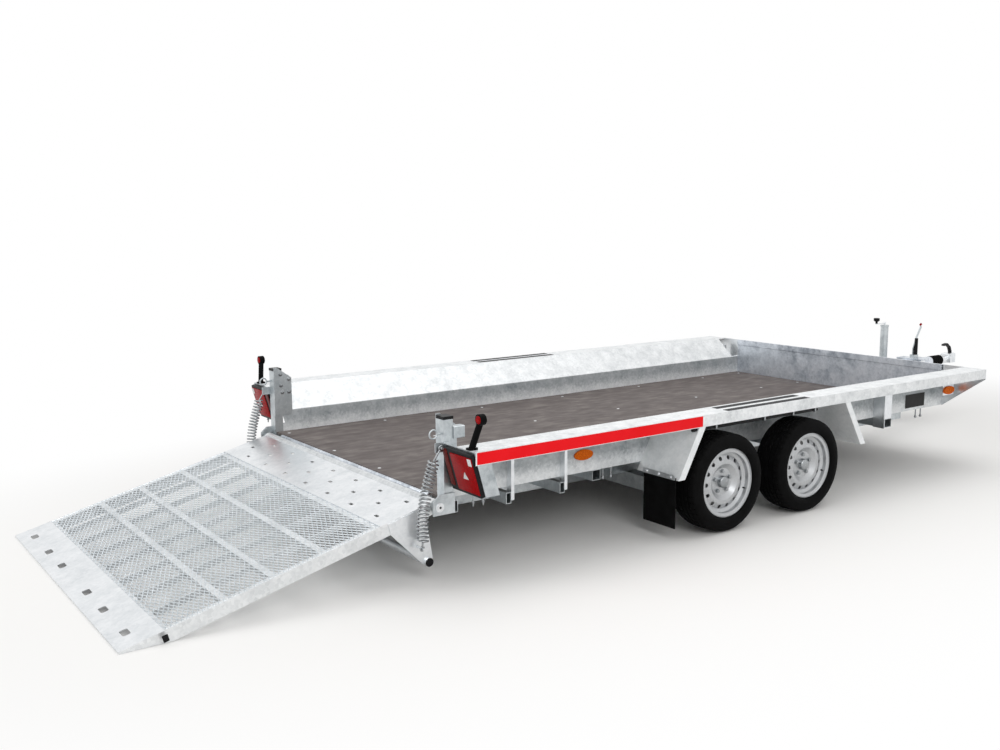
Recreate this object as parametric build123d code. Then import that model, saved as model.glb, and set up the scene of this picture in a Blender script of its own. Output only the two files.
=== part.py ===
from build123d import *
from math import asin, atan2, cos, degrees, hypot, radians, sin
import os

# Plant trailer, in millimetres. While it is built, X runs forward from the rear corner of the
# floor, Y to the left and Z up from the ground; save() moves X to the middle of the length.

# Bed
bed_rear = -130          # rear end of the floor board
bed_length = 4000        # floor board, front to back
bed_width = 1800         # between the side walls
floor_top = 380
floor_board_t = 15
sheet = 3                # folded steel sheet
seat = 0.3               # gap between pieces that rest on each other

# Side section: wall, slanted panel, ledge over the wheels, fascia
bend_z = 505             # top of the upright wall
slant_w = 156            # slanted panel, across
ledge_w = 151            # ledge, across
ledge_z = 640
fascia_low = 580
lip = 14                 # inward return under the fascia
side_rear = -134         # rear end of the ledge and fascia
corner_notch = 70        # the slanted panel stops this far behind the front wall
notch_gap = 4            # and this far from its folds

# Front wall
rim_height = 40          # folded rim along its top
rim_depth = 12
rim_fold = 4             # height of the slanted fold under the rim
wall_set_in = 8          # the wall, ahead of the rim
front_plate_t = 4
plate_side_cut = 5       # the front plate reaches this far below the fascia
corner_low_in = 12       # the front plate's lower corner, out from the side wall's face

# Frame under the floor, with angle brackets that carry the fascia
cross_h = 55
cross_wall = 3
cross_bars = (
    # x, width along X, reach beyond the side wall, drop below the floor board,
    # side of its bracket (1 ahead, -1 behind, 0 none), length of the bracket's flange
    (235, 30, 37, 19, 1, 18),
    (562, 30, 37, 19, 1, 17),
    (815, 55, 0, 0, 0, 0),
    (1300, 30, -13, 19, 0, 0),
    (1772, 30, -13, 19, 0, 0),
    (2245, 30, -13, 19, 0, 0),
    (2720, 30, -13, 19, 0, 0),
    (3168.5, 70, 82, 0, -1, 74),
    (3500, 30, -235, 19, 0, 0),
    (3810, 30, -235, 19, 0, 0),
)
bearer_drop = 19         # lengthwise bearers between the cross-members and the floor
bearer_w = 40
bearer_y = (280, 780)
outrigger_t = 4
outrigger_low = 305
sill_x = -95             # rear cross-member, under the posts
sill_w = 55
sill_h = 57
rail_y = 600             # centre line of the long rails
rail_w = 50
rail_h = 60
rail_wall = 4
rail_rear = -60
rail_front = 3850

# Wheel guards: sloping sheets behind and ahead of the wheels
# top x, top z, bottom x, bottom z
guards = ((1247, 592, 1098, 323), (2425, 579, 2582, 316))
guard_flange = 45
flap_in, flap_out = 57, 287      # beyond the side wall
flap_low = 70
flap_top = 335
flap_t = 5

# Rear posts and hinge plates
post_x = -140            # rear face of the post tube
post_d = 50              # along X
post_w = 60              # along Y
post_wall = 4
post_top = 745
cap_h = 14
gusset_t = 6             # bolted plate on the inner face of the post
gusset_front = -30
gusset_low = 480
gusset_high = 765
gusset_slope_to = 700    # height of the plate's top edge at its front
gusset_flat = 20         # level stretch of its top edge
stud_plate_x = (-188, -110)     # plate that holds the spring's upper stud
stud_plate_t = 6
stud_plate_high = 44
stud_over = 16           # the stud reaches this far past the coil's middle
cap_over = 2
hinge_plate_t = 8
hinge_plate_cut = (35, 30)      # its rear upper corner
hinge_plate_rear = -205
hinge_plate_front = -88
hinge_plate_low = 310
hinge_plate_top = 405
latch_z = 682            # spring bolt with a pull ring
latch_ring_x = -166
latch_r = 5
latch_ring_r = 20
latch_wire_r = 4
latch_box = (59.7, 44, 56)      # housing of the bolt's spring
latch_box_round = 6
latch_set_in = 5         # the bolt, from the post's inner face

# Ramp, in its own measures: u from the hinge towards the tip, w up from the hinge
hinge_x = -170
hinge_z = 347
ramp_length = 1470
ramp_side = 25           # the ramp is this much wider than the bed, on each side
ramp_top_w = 22          # walking surface above the hinge
ramp_plate_t = 4
channel_depth = 58
channel_flange = 35
channel_cut = (20, 18)   # its lower corner at the hinge
flange_from = 40         # its flanges start here
ramp_sheet = 3
tube_r = 28.5            # hinge tube
tube_wall = 4
tube_over = 5            # hinge tube, beyond the side channels
pin_r = 15
pin_over = 49            # hinge pins, beyond the side channels
pin_clearance = 0.08
plate_to = 285           # perforated plate ends, mesh starts
tip_plate = 186          # length of the tip plate after the mesh
mesh_pitch_y = 116       # diamonds of the mesh
mesh_pitch_u = 62
mesh_bar = 12
taper_length = 208       # the side channels get shallower over this
tip_t = 8                # thickness of the nose
nose_depth = 30
tip_tube_w = 35          # box tube across the end of the mesh
tip_tube_h = 42
cross_tube_at = (0.015, 0.275, 0.515, 0.735)   # cross tubes, as shares of the mesh's length
ramp_cross_size = 30
rib_count = 7
rib_t = 6
rib_h = 30
holes_per_row = 7        # oval holes in the plate: three staggered rows
hole_rows = ((73, -1), (155, 1), (235, -1))   # u, side of the quarter pitch
hole_long, hole_wide = 34, 15
tip_hole = (62, 34)      # openings in the tip plate, along Y and along u
tip_hole_back = 70       # openings' middle, from the tip
tip_hole_at = (0.238, 0.514, 0.843)   # openings, as shares of the ramp's half width
tip_hole_round = 10
stand_u, stand_w = 106, -235   # tube under the ramp's hinge end
stand_r = 20
stand_wall = 3
stand_plate_t = 6
stand_over = 20          # stand bar, beyond the side channels
stand_top_u = (62, 250)
stand_edge = 8           # its plate, around the bar
stand_lap = 12           # and on the side towards the tip
spring_u, spring_w = 140, -141   # lower spring stud

# Springs
spring_r = 27.5
spring_out = 16          # coil's middle, out from the post
spring_top = (-166, 623)         # upper stud, X and Z
spring_coil_top = (-205, 566)
spring_bend = (-257, 376)
spring_bend_r = 600
spring_stud_r = 5
spring_hook_r = 3.5
spring_hook_low = (3, 32)       # coil's lower end from the lower stud, X and Z

# Lamps
lamp_top = (-139, 634)           # rear face of the lamp panel, X and Z
lamp_low = (-80, 430)
lamp_gap = 7                     # post to the inner edge of the lamp panel
lamp_depth = 20
lamp_edge = 3
lamp_round = 5
lamp_return = 75
lamp_foot = 20           # fold along the panel's lower edge
lamp_head = 37           # fold along its upper edge
marker_x = -112
marker_in = 57                   # middle of its foot, in from the fascia
marker_height = 128              # ledge to the middle of the head
marker_lean = (34, 12)           # head ahead of and outside its foot
marker_r = 25
marker_depth = 30
marker_stem_r = 9
marker_foot = (40, 28, 8.7)
marker_root = 5          # the stem starts this far above the ledge
side_mark_x, side_mark_z = 726, 456       # rear reflector, on the side wall
front_mark_x, front_mark_z = 3792, 488    # front reflector, on its bracket
front_mark_out = 103                      # bracket's face, beyond the side wall
mark_long, mark_high, mark_t = 120, 54, 8
mark_plate = (126, 64)

# Wheels and axles
axle_x = (1447, 2098)
tyre_r = 262.5
tyre_w = 195
tyre_over_lip = 1.5
wheel_out = 240          # tyres' middle, beyond the bed's half width
rim_half = 80
lip_r = 183
lip_w, lip_h = 7, 3      # rolled edge of the lip
bead_r = 166
drop_r = 148
drop_y = (-12, 42)       # floor of the drop centre
drop_slope = (13, 10)    # its slopes, along Y
drop_edge = 2
rim_sheet = 4
bead_y = 70              # the bead seats end here
hub_face = 30            # mounting face, out from the centre plane
disc_t = 5
disc_flat_r = 74         # mounting face
disc_crest = 20          # its raised ring, out from the mounting face
disc_crest_r = (100, 116)
disc_weld_y = 37
vent_count = 14
vent_r = 11
vent_at = 131
cap_r = 31
cap_taper = ((18, 28), (22, 21))      # height and radius
drum_r = 115
drum_in = -140           # from the tyres' middle
drum_to = -65
drum_step = 8
hub_r = 62
bore_spare = 2
stub_r = 22
stub_clearance = 0.08
stub_end = -20
backplate_t = 5
backplate_gap = 10
arm_length = 150
arm_t = 35
arm_w = 60
torsion_size = 80
torsion_wall = 6
arm_root = 6             # the arm's root stands this far around the tube
backplate_in = 3         # the back plate is this much smaller than the drum
torsion_in = 20          # the tube ends inside the bed's half width

# Drawbar and coupling
drawbar_rear = 3090
drawbar_rear_y = 520
drawbar_w = 60
drawbar_h = 80
drawbar_wall = 4
drawbar_bend = 3950      # the beams rise from here
drawbar_rise = 201
drawbar_top_x = 4880     # and are level again from here
drawbar_front = 4960
drawbar_front_y = 75     # centre of each beam at drawbar_top_x
housing_half = 44
housing_rear = 4690
housing_front = 5150
housing_neck = 70
draw_plate_t = 8
draw_plate_over = (10, 5)       # past the beams, along X and Y
lever_x = 4940           # handbrake
lever_foot = (50, 44, 26)
lever_t = 16
lever_y = (6, 14)
lever_path = ((-8, 1), (-8, 75), (30, 165), (85, 250))      # from its foot, X and Z
strut_length = 130
strut_r = 13
strut_at = (10, -8)      # from the lever's foot, X and Y
bellows_front = 5300
bellows_r = 42
bellows_depth = 8
bellows_folds = 6
fold_crest = (0.35, 0.65)       # crest of each fold, as shares of its pitch
head_half = 45
head_front = 5490
head_low = 425
head_high = 500
head_rear = 5385
head_round = 14
socket_r = 25.3
socket_depth = 42
shank_r = 33
shank_lap = 25
handle_w = 26
handle_t = 14
handle_path = ((-38, 0.3), (-38, 15), (-55, 52), (-100, 84), (-150, 78))      # from the head's nose and top

# Jockey wheel
jockey_x, jockey_y = 4800, 185
jockey_r = 30
jockey_wall = 3
jockey_low = 360
jockey_top = 745
jockey_lid = (12, 3)     # height, reach over the tube
jockey_lid_in = 10       # thickness inside the tube
leg_gap = 0.3
leg_r = jockey_r - jockey_wall - leg_gap
leg_low = 222
leg_top = 530
clamp_high = 70
clamp_wall = 11
clamp_arm = (60, 56)     # along X, high
clamp_arm_from = 60      # from the middle plane
clamp_lap = 2
clamp_clearance = 0.1
jockey_wheel_r = 100
jockey_wheel_w = 50
hub_half_r = (30, 34)    # hub ring and the root of the web beside it
web_in = 6               # the web lies this far inside the wheel's faces
tread_depth = (34, 28)   # web to tread, and inner edge of the tread
tread_edge = (10, 9, 1)  # rounded edge of the tread
jockey_pin_r = 8
jockey_trail = 40
fork_t = 5
fork_gap = 6
fork_crown_t = 7
fork_rear = 28           # crown behind the axle
fork_front = 4           # and ahead of the leg
fork_foot = (16, 14)     # below and beside the axle
crank_arm = 110
crank_shaft = (8, 22)    # radius, height
crank_bar = (16, 6, 10)  # width, thickness, reach past the knob
crank_tail = 12
crank_rise = 12
knob = (24, 44)          # radius, height

# Worked out from the sizes above
half = bed_width / 2
ledge_in = half + slant_w
ledge_out = ledge_in + ledge_w
corner_low_y = half + corner_low_in
ramp_half = half + ramp_side
tube_end = ramp_half + tube_over
pin_end = ramp_half + pin_over
stand_end = ramp_half + stand_over
mesh_to = ramp_length - tip_plate
taper_from = ramp_length - taper_length
tip_hole_u = ramp_length - tip_hole_back
tip_hole_y = [share * ramp_half for share in tip_hole_at]
ramp_cross_u = [plate_to + share * (mesh_to - plate_to) for share in cross_tube_at]
rib_pitch = 2 * ramp_half / (rib_count + 1)
hole_pitch = 2 * ramp_half / (holes_per_row + 0.5)
wheel_y = half + wheel_out
torsion_end = half - torsion_in
bed_front = bed_rear + bed_length
under_floor = floor_top - floor_board_t
wall_out = half + sheet
front_x = bed_front + rim_depth           # rear face of the front plate
rail_top = under_floor - bearer_drop - cross_h
rail_low = rail_top - rail_h
post_out = half + post_w
spring_y = post_out + spring_out
lamp_in = post_out + lamp_gap
marker_y = ledge_out - marker_in
front_mark_y = wall_out + front_mark_out
torsion_z = rail_low - torsion_size / 2
arm_rise = tyre_r - torsion_z
arm_reach = (arm_length ** 2 - arm_rise ** 2) ** 0.5
nose_low_w = ramp_top_w - tip_t
ramp_angle = degrees(atan2(nose_low_w, ramp_length) + asin(hinge_z / hypot(ramp_length, nose_low_w)))
rear_x = hinge_x - ramp_length * cos(radians(ramp_angle)) - ramp_top_w * sin(radians(ramp_angle))
x_mid = (rear_x + head_front) / 2


# Helpers

def outline(points):
    return make_face(Polyline(*points, close=True))


def along_x(points, x0, x1):
    """Solid with an outline in Y and Z, from x0 to x1."""
    return extrude(Plane.YZ * outline(points), x1 - x0, dir=(1, 0, 0)).moved(Pos(x0, 0, 0))


def along_y(points, y0, y1):
    """Solid with an outline in X and Z, from y0 to y1."""
    return extrude(Plane.XZ * outline(points), y1 - y0, dir=(0, 1, 0)).moved(Pos(0, y0, 0))


def along_z(points, z0, z1):
    """Solid with an outline in X and Y, from z0 to z1."""
    return extrude(outline(points), z1 - z0, dir=(0, 0, 1)).moved(Pos(0, 0, z0))


def block(x0, x1, y0, y1, z0, z1):
    size = Box(x1 - x0, y1 - y0, z1 - z0, align=(Align.MIN, Align.MIN, Align.MIN))
    return Pos(x0, y0, z0) * size


def rod(start, end, radius):
    """Round bar between two points."""
    run = Vector(*end) - Vector(*start)
    bar = Cylinder(radius, run.length, align=(Align.CENTER, Align.CENTER, Align.MIN))
    return Plane(origin=start, z_dir=run) * bar


def shifted(path, t):
    """The path moved by t to its right, with mitred corners."""
    normals = []
    for (a, b), (c, d) in zip(path, path[1:]):
        length = hypot(c - a, d - b)
        normals.append(((d - b) / length, (a - c) / length))
    moved = []
    for i, (a, b) in enumerate(path):
        m = normals[max(i - 1, 0)]
        n = normals[min(i, len(normals) - 1)]
        k = t / (1 + m[0] * n[0] + m[1] * n[1])
        moved.append((a + k * (m[0] + n[0]), b + k * (m[1] + n[1])))
    return moved


def folded(path, t):
    """Outline of a folded sheet: one face is the path, the other lies t to its right."""
    return path + shifted(path, t)[::-1]


def box_ring(x0, x1, z0, z1, wall):
    """Outer and inner outline of a box tube."""
    outer = [(x0, z0), (x1, z0), (x1, z1), (x0, z1)]
    inner = [(x0 + wall, z0 + wall), (x1 - wall, z0 + wall), (x1 - wall, z1 - wall), (x0 + wall, z1 - wall)]
    return outer, inner


def box_tube_y(x0, x1, z0, z1, wall, end):
    """Box tube across the trailer, with open ends."""
    outer, inner = box_ring(x0, x1, z0, z1, wall)
    return along_y(outer, -end, end) - along_y(inner, -end - 1, end + 1)


def to_right(solid):
    return mirror(solid, about=Plane.XZ)


def pair(left):
    return Compound(children=[left, to_right(left)])


def save(name, solid):
    export_step(Pos(-x_mid, 0, 0) * solid, f"parts/{name}.step")


def save_pair(name, left):
    save(f"{name}_left", left)
    save(f"{name}_right", to_right(left))


# Bed

side_path = [(half, under_floor), (half, bend_z), (ledge_in, ledge_z), (ledge_out, ledge_z),
             (ledge_out, fascia_low), (ledge_out - lip, fascia_low)]
under_path = shifted(side_path, sheet + seat)


def floor_board():
    edge = half - 1
    return block(bed_rear, bed_front, -edge, edge, under_floor, floor_top)


def side_panel():
    panel = along_x(folded(side_path, sheet), side_rear, front_x)
    post_room = block(side_rear - 1, post_x + post_d + seat, half - 1, post_out + seat, 0,
                      ledge_z - sheet - 1)
    lamp_plane = [(side_rear - 1, lamp_top[1] + seat), (side_rear - 1, lamp_low[1]),
                  (lamp_low[0] + sheet + seat, lamp_low[1]), (lamp_top[0] + sheet + 2, lamp_top[1] + seat)]
    lamp_room = along_y(lamp_plane, half, ledge_out - sheet)
    notch = block(front_x - corner_notch, front_x + 1, wall_out + notch_gap, ledge_in - notch_gap, bend_z,
                  ledge_z + 1)
    return panel - post_room - lamp_room - notch


def front_wall():
    x = bed_front + wall_set_in
    rim_low = ledge_z - rim_height
    path = [(x, under_floor), (x, rim_low - rim_fold), (bed_front, rim_low), (bed_front, ledge_z),
            (front_x, ledge_z)]
    return along_y(folded(path, sheet), seat - half, half - seat)


def front_plate():
    low = under_floor
    side = [(ledge_out, ledge_z), (ledge_out, fascia_low - plate_side_cut), (corner_low_y, low)]
    points = side + [(-y, z) for y, z in reversed(side)]
    return along_x(points, front_x, front_x + front_plate_t)


# Frame

def cross_members():
    """Cross-members, the bearers that they carry under the floor, and the sill under the posts."""
    members = box_tube_y(sill_x - sill_w / 2, sill_x + sill_w / 2, under_floor - sill_h, under_floor,
                         cross_wall, post_out)
    for x, width, reach, drop, side, flange_length in cross_bars:
        top = under_floor - drop
        members += box_tube_y(x - width / 2, x + width / 2, top - cross_h, top, cross_wall, wall_out + reach)
    for y in bearer_y:
        bearer = block(sill_x, rail_front, y - bearer_w / 2, y + bearer_w / 2, rail_top + cross_h - 1,
                       under_floor)
        members += [bearer, to_right(bearer)]
    return members


def rail():
    outer, inner = box_ring(rail_y - rail_w / 2, rail_y + rail_w / 2, rail_low, rail_top, rail_wall)
    return along_x(outer, rail_rear, rail_front) - along_x(inner, rail_rear - 1, rail_front + 1)


def under_side(x0, x1, y_out, z_low):
    """The room outside the wall and under the slanted panel and the ledge."""
    region = [(under_path[0][0], z_low), under_path[1], under_path[2], under_path[3],
              (under_path[3][0], z_low)]
    return along_x(region, x0, x1) & block(x0, x1, half, y_out, z_low, ledge_z)


def outriggers():
    angles = Part()
    for x, width, reach, drop, side, flange_length in cross_bars:
        if side == 0:
            continue
        out = wall_out + reach
        web_x, foot = x + width / 2 + seat, outrigger_low
        if side < 0:
            web_x, foot = x - width / 2 - seat - outrigger_t, under_floor - drop + seat
        web = under_side(web_x, web_x + outrigger_t, out, outrigger_low)
        flange = under_side(web_x, web_x + flange_length, out, foot)
        flange &= block(web_x, web_x + flange_length, out - outrigger_t, out, foot, ledge_z)
        angles += web + flange
    return angles


def wheel_guards():
    sheets = Part()
    for top_x, top_z, low_x, low_z in guards:
        slope = (top_x - low_x) / (top_z - low_z)
        high_x = top_x + slope * (ledge_z - top_z)
        band = along_y(folded([(high_x, ledge_z), (low_x, low_z)], -sheet), half, ledge_out - sheet)
        guard = band & under_side(min(low_x, high_x) - 5, max(low_x, high_x) + 9, ledge_out - sheet, low_z)
        guard -= block(0, rail_front, ledge_out - lip - seat, ledge_out, fascia_low - seat, ledge_z)
        high_z = fascia_low - seat
        at_top = low_x + slope * (high_z - low_z)
        strip = [(low_x, low_z), (low_x + guard_flange, low_z), (at_top + guard_flange, high_z),
                 (at_top, high_z)]
        sheets += guard + along_y(strip, ledge_out - sheet, ledge_out)
    return sheets


def mud_flap():
    front = guards[0][2] - seat
    return block(front - flap_t, front, wall_out + flap_in, wall_out + flap_out, flap_low, flap_top)


# Rear posts and hinge plates

def post():
    outer = block(post_x, post_x + post_d, half, post_out, under_floor, post_top)
    inner = block(post_x + post_wall, post_x + post_d - post_wall, half + post_wall, post_out - post_wall,
                  under_floor - 1, post_top + 1)
    tube = outer - inner
    x, z = spring_top
    stud_plate = block(*stud_plate_x, post_out, post_out + stud_plate_t, z - stud_plate_high / 2,
                       z + stud_plate_high / 2)
    stud = rod((x, post_out + stud_plate_t / 2, z), (x, spring_y + stud_over, z), spring_stud_r)
    return tube + stud_plate + stud + post_plate() + hinge_plate()


def post_plate():
    points = [(post_x, gusset_low), (gusset_front, gusset_low), (gusset_front, gusset_slope_to),
              (post_x + gusset_flat, gusset_high), (post_x, gusset_high)]
    return along_y(points, half - gusset_t, half)


def post_cap():
    x0, x1 = post_x - cap_over, post_x + post_d + cap_over
    cap = block(x0, x1, half - cap_over, post_out + cap_over, post_top, post_top + cap_h)
    return cap - block(x0 - 1, x1 + 1, half - cap_over - 1, half, post_top - 1, gusset_high + 1)


def hinge_plate():
    points = [(hinge_plate_rear, hinge_plate_low), (hinge_plate_front, hinge_plate_low),
              (hinge_plate_front, hinge_plate_top), (hinge_plate_rear + hinge_plate_cut[0], hinge_plate_top),
              (hinge_plate_rear, hinge_plate_top - hinge_plate_cut[1])]
    plate = along_y(points, post_out, post_out + hinge_plate_t)
    bore = rod((hinge_x, post_out - 1, hinge_z), (hinge_x, post_out + hinge_plate_t + 1, hinge_z),
               pin_r + pin_clearance)
    return plate - bore


def latch():
    """Spring bolt with a pull ring: it runs through the post along X."""
    y = post_out - post_wall - latch_r - latch_set_in
    z = latch_z
    bolt = rod((latch_ring_x, y, z), (post_x - seat, y, z), latch_r)
    ring = Pos(latch_ring_x - latch_ring_r, y, z) * Rot(90, 0, 0) * Torus(latch_ring_r, latch_wire_r)
    length, wide, high = latch_box
    front = post_x + post_d + seat
    spring_box = block(front, front + length, y - wide / 2, y + wide / 2, z - high / 2, z + high / 2)
    return bolt + ring, fillet(spring_box.edges().filter_by(Axis.X), latch_box_round)


# Ramp, drawn level behind the hinge and then lowered until its nose is on the ground

def ramp_xz(points):
    return [(hinge_x - u, hinge_z + w) for u, w in points]


def ramp_block(u0, u1, y0, y1, w0, w1):
    return block(hinge_x - u1, hinge_x - u0, y0, y1, hinge_z + w0, hinge_z + w1)


def lowered(solid):
    return Pos(hinge_x, 0, hinge_z) * Rot(0, -ramp_angle, 0) * Pos(-hinge_x, 0, -hinge_z) * solid


def ramp_rod(u, w, y0, y1, radius):
    return rod((hinge_x - u, y0, hinge_z + w), (hinge_x - u, y1, hinge_z + w), radius)


skin_w = ramp_top_w - ramp_plate_t                 # underside of the walking surface
channel_low = ramp_top_w - channel_depth
skin_half = ramp_half - ramp_sheet - seat
plate_from = (tube_r ** 2 - skin_w ** 2) ** 0.5 + seat


def hinge_tube():
    tube = ramp_rod(0, 0, -tube_end, tube_end, tube_r)
    tube -= ramp_rod(0, 0, tube_wall - tube_end, tube_end - tube_wall, tube_r - tube_wall)
    for side in (-1, 1):
        tube += ramp_rod(0, 0, side * (tube_end - tube_wall), side * pin_end, pin_r)
    return tube


def side_channel():
    """Folded channel along one edge of the ramp, open towards the middle."""
    web_out = ramp_half - ramp_sheet
    points = [(0, ramp_top_w), (ramp_length, ramp_top_w), (ramp_length, nose_low_w),
              (taper_from, channel_low), (channel_cut[0], channel_low), (0, channel_low + channel_cut[1])]
    web = along_y(ramp_xz(points), web_out, ramp_half)
    inner = web_out - channel_flange
    top = ramp_block(flange_from, mesh_to, inner, web_out, skin_w - ramp_sheet, skin_w)
    bottom = ramp_block(flange_from, taper_from, inner, web_out, channel_low, channel_low + ramp_sheet)
    return web + top + bottom


def ramp_cross_tube(u, size_u, size_w):
    outer, inner = box_ring(hinge_x - u - size_u / 2, hinge_x - u + size_u / 2,
                            hinge_z + skin_w - size_w, hinge_z + skin_w, ramp_sheet)
    end = ramp_half - ramp_sheet
    return along_y(outer, -end, end) - along_y(inner, -end, end)


def ramp_frame():
    frame = hinge_tube()
    channel = side_channel()
    frame += [channel, to_right(channel)]
    for u in ramp_cross_u:
        frame += ramp_cross_tube(u, ramp_cross_size, ramp_cross_size)
    frame += ramp_cross_tube(mesh_to, tip_tube_w, tip_tube_h)
    for i in range(rib_count):
        y = (i - (rib_count - 1) / 2) * rib_pitch
        rib = ramp_block(plate_to, mesh_to, y - rib_t / 2, y + rib_t / 2, skin_w - rib_h, skin_w)
        for u in ramp_cross_u:
            rib -= ramp_block(u - ramp_cross_size / 2, u + ramp_cross_size / 2, y - rib_t, y + rib_t,
                              skin_w - rib_h, skin_w)
        frame += rib
    return lowered(frame)


def ramp_plate():
    plate = ramp_block(plate_from, plate_to, -skin_half, skin_half, skin_w, ramp_top_w)
    tool = extrude(SlotOverall(hole_long, hole_wide, rotation=90), 2 * ramp_plate_t, both=True)
    holes = Part()
    for u, side in hole_rows:
        for i in range(holes_per_row):
            y = (i - (holes_per_row - 1) / 2 + side / 4) * hole_pitch
            holes += Pos(hinge_x - u, y, hinge_z + skin_w) * tool
    return lowered(plate - holes)


def ramp_mesh():
    """Expanded metal, drawn as a coarse lattice of diamond openings."""
    mesh = ramp_block(plate_to + seat, mesh_to, -skin_half, skin_half, skin_w, ramp_top_w)
    long, wide = mesh_pitch_y - mesh_bar, mesh_pitch_u - mesh_bar
    diamond = make_face(Polyline((0, -long / 2), (wide / 2, 0), (0, long / 2), (-wide / 2, 0), close=True))
    tool = extrude(diamond, 2 * ramp_plate_t, both=True)
    rows = int((mesh_to - plate_to - mesh_bar) // mesh_pitch_u)
    columns = int((2 * skin_half - mesh_bar) // mesh_pitch_y)
    holes = []
    for i in range(rows):
        u = (plate_to + mesh_to) / 2 + (i - (rows - 1) / 2) * mesh_pitch_u
        for j in range(columns):
            y = (j - (columns - 1) / 2) * mesh_pitch_y
            holes.append(Pos(hinge_x - u, y, hinge_z + skin_w) * tool)
    return lowered(mesh - holes)


def ramp_tip():
    top = ramp_block(mesh_to + seat, ramp_length, -skin_half, skin_half, skin_w, ramp_top_w)
    nose = ramp_block(ramp_length - nose_depth, ramp_length, -skin_half, skin_half, nose_low_w, skin_w)
    tip = top + nose
    for y in tip_hole_y:
        for side in (-1, 1):
            cut = extrude(RectangleRounded(tip_hole[1], tip_hole[0], tip_hole_round), 3 * tip_t, both=True)
            tip -= Pos(hinge_x - tip_hole_u, side * y, hinge_z + skin_w) * cut
    return lowered(tip)


def ramp_stand():
    """Bar under the hinge end of the ramp, on a plate at each side that also holds the spring stud."""
    bar = ramp_rod(stand_u, stand_w, -stand_end, stand_end, stand_r)
    bar -= ramp_rod(stand_u, stand_w, -stand_end - 1, stand_end + 1, stand_r - stand_wall)
    outer = ramp_half + stand_plate_t
    points = [(stand_top_u[0], skin_w), (stand_top_u[1], skin_w), (stand_top_u[1], channel_low),
              (stand_u + stand_r + stand_lap, stand_w + stand_edge),
              (stand_u, stand_w - stand_r - stand_edge), (stand_u - stand_r - stand_edge, stand_w),
              (stand_top_u[0], channel_low)]
    stand = bar
    for side in (-1, 1):
        plate = along_y(ramp_xz(points), *sorted((side * ramp_half, side * outer)))
        plate -= ramp_rod(stand_u, stand_w, side * (ramp_half - 1), side * (outer + 1), stand_r - stand_wall)
        stud = ramp_rod(spring_u, spring_w, side * (outer - 1), side * (spring_y + stud_over), spring_stud_r)
        stand += [plate, stud]
    return lowered(stand)


def at_rest(u, w):
    """X and Z of a point of the lowered ramp."""
    turn = radians(ramp_angle)
    return hinge_x - u * cos(turn) - w * sin(turn), hinge_z - u * sin(turn) + w * cos(turn)


def spring():
    """Tension spring as the outline of its coil, with a hook at each end."""
    stud_x, stud_z = at_rest(spring_u, spring_w)
    coil_low = (stud_x + spring_hook_low[0], stud_z + spring_hook_low[1])
    points = [(x, spring_y, z) for x, z in (spring_coil_top, spring_bend, coil_low)]
    path = FilletPolyline(*points, radius=spring_bend_r)
    coil = sweep(Plane(origin=path @ 0, z_dir=path % 0) * Circle(spring_r), path=path)
    solid = coil
    for stud, end in ((spring_top, spring_coil_top), ((stud_x, stud_z), coil_low)):
        away = Vector(end[0] - stud[0], 0, end[1] - stud[1]).normalized()
        start = Vector(stud[0], spring_y, stud[1]) + away * (spring_stud_r + seat)
        solid += rod(tuple(start), (end[0], spring_y, end[1]), spring_hook_r)
    return solid


# Lamps

lamp_out = ledge_out - sheet - seat


def lamp_panel():
    high = ledge_z - sheet - seat
    path = [(lamp_low[0] + lamp_foot, lamp_low[1]), lamp_low, (lamp_top[0], high)]
    panel = along_y(folded(path, sheet), lamp_in, lamp_out) & block(-500, 0, half, ledge_out, 0, high)
    fold_x = lamp_top[0] + sheet
    panel += block(fold_x, fold_x + lamp_head, under_path[2][0], lamp_out, high - sheet, high)
    top = fascia_low - seat
    slope = (lamp_top[0] - lamp_low[0]) / (high - lamp_low[1])
    at_top = lamp_low[0] + slope * (top - lamp_low[1])
    cheek = [lamp_low, (lamp_low[0] + lamp_return, lamp_low[1]), (at_top + lamp_return, top), (at_top, top)]
    return panel + along_y(cheek, lamp_out - sheet, lamp_out)


def tail_lamp():
    low, high = Vector(*lamp_low), Vector(*lamp_top)
    up = (high - low).normalized()
    path = shifted([tuple(low + up * lamp_edge)[:2], tuple(high - up * lamp_edge)[:2]], -seat)
    body = along_y(folded(path, -lamp_depth), lamp_in + lamp_edge, lamp_out - lamp_edge)
    rear = body.faces().sort_by(Axis.X)[0]
    return fillet(rear.edges(), lamp_round)


def marker_lamp():
    long, wide, high = marker_foot
    foot = ledge_z + seat
    base = block(marker_x - long / 2, marker_x + long / 2, marker_y - wide / 2, marker_y + wide / 2, foot,
                 foot + high)
    head = Vector(marker_x + marker_lean[0], marker_y + marker_lean[1], ledge_z + marker_height)
    stem = rod((marker_x, marker_y, ledge_z + marker_root), tuple(head), marker_stem_r)
    disc = rod(tuple(head - (marker_depth / 2, 0, 0)), tuple(head + (marker_depth / 2, 0, 0)), marker_r)
    return base + stem + disc


def reflector_bracket():
    """Plate that hangs from the slanted panel and holds the front reflector."""
    y = front_mark_y
    (y0, z0), (y1, z1) = under_path[1:3]
    top = z0 + (y - sheet - y0) * (z1 - z0) / (y1 - y0)
    long, high = mark_plate
    x, z = front_mark_x, front_mark_z
    return block(x - long / 2, x + long / 2, y - sheet, y, z - high / 2, top)


def side_reflectors():
    lens = extrude(Ellipse(mark_long / 2, mark_high / 2), mark_t)
    return [Pos(x, y + seat, z) * Rot(-90, 0, 0) * lens
            for x, y, z in ((side_mark_x, wall_out, side_mark_z), (front_mark_x, front_mark_y, front_mark_z))]


# Wheels and axles: turned about the Y axis with the outside towards +Y

def turned(*outlines):
    """Ring from outlines of (distance out, radius), which are joined first."""
    face = Sketch() + [outline([(r, y) for y, r in points]) for points in outlines]
    return revolve(face, Axis.Y)


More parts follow.
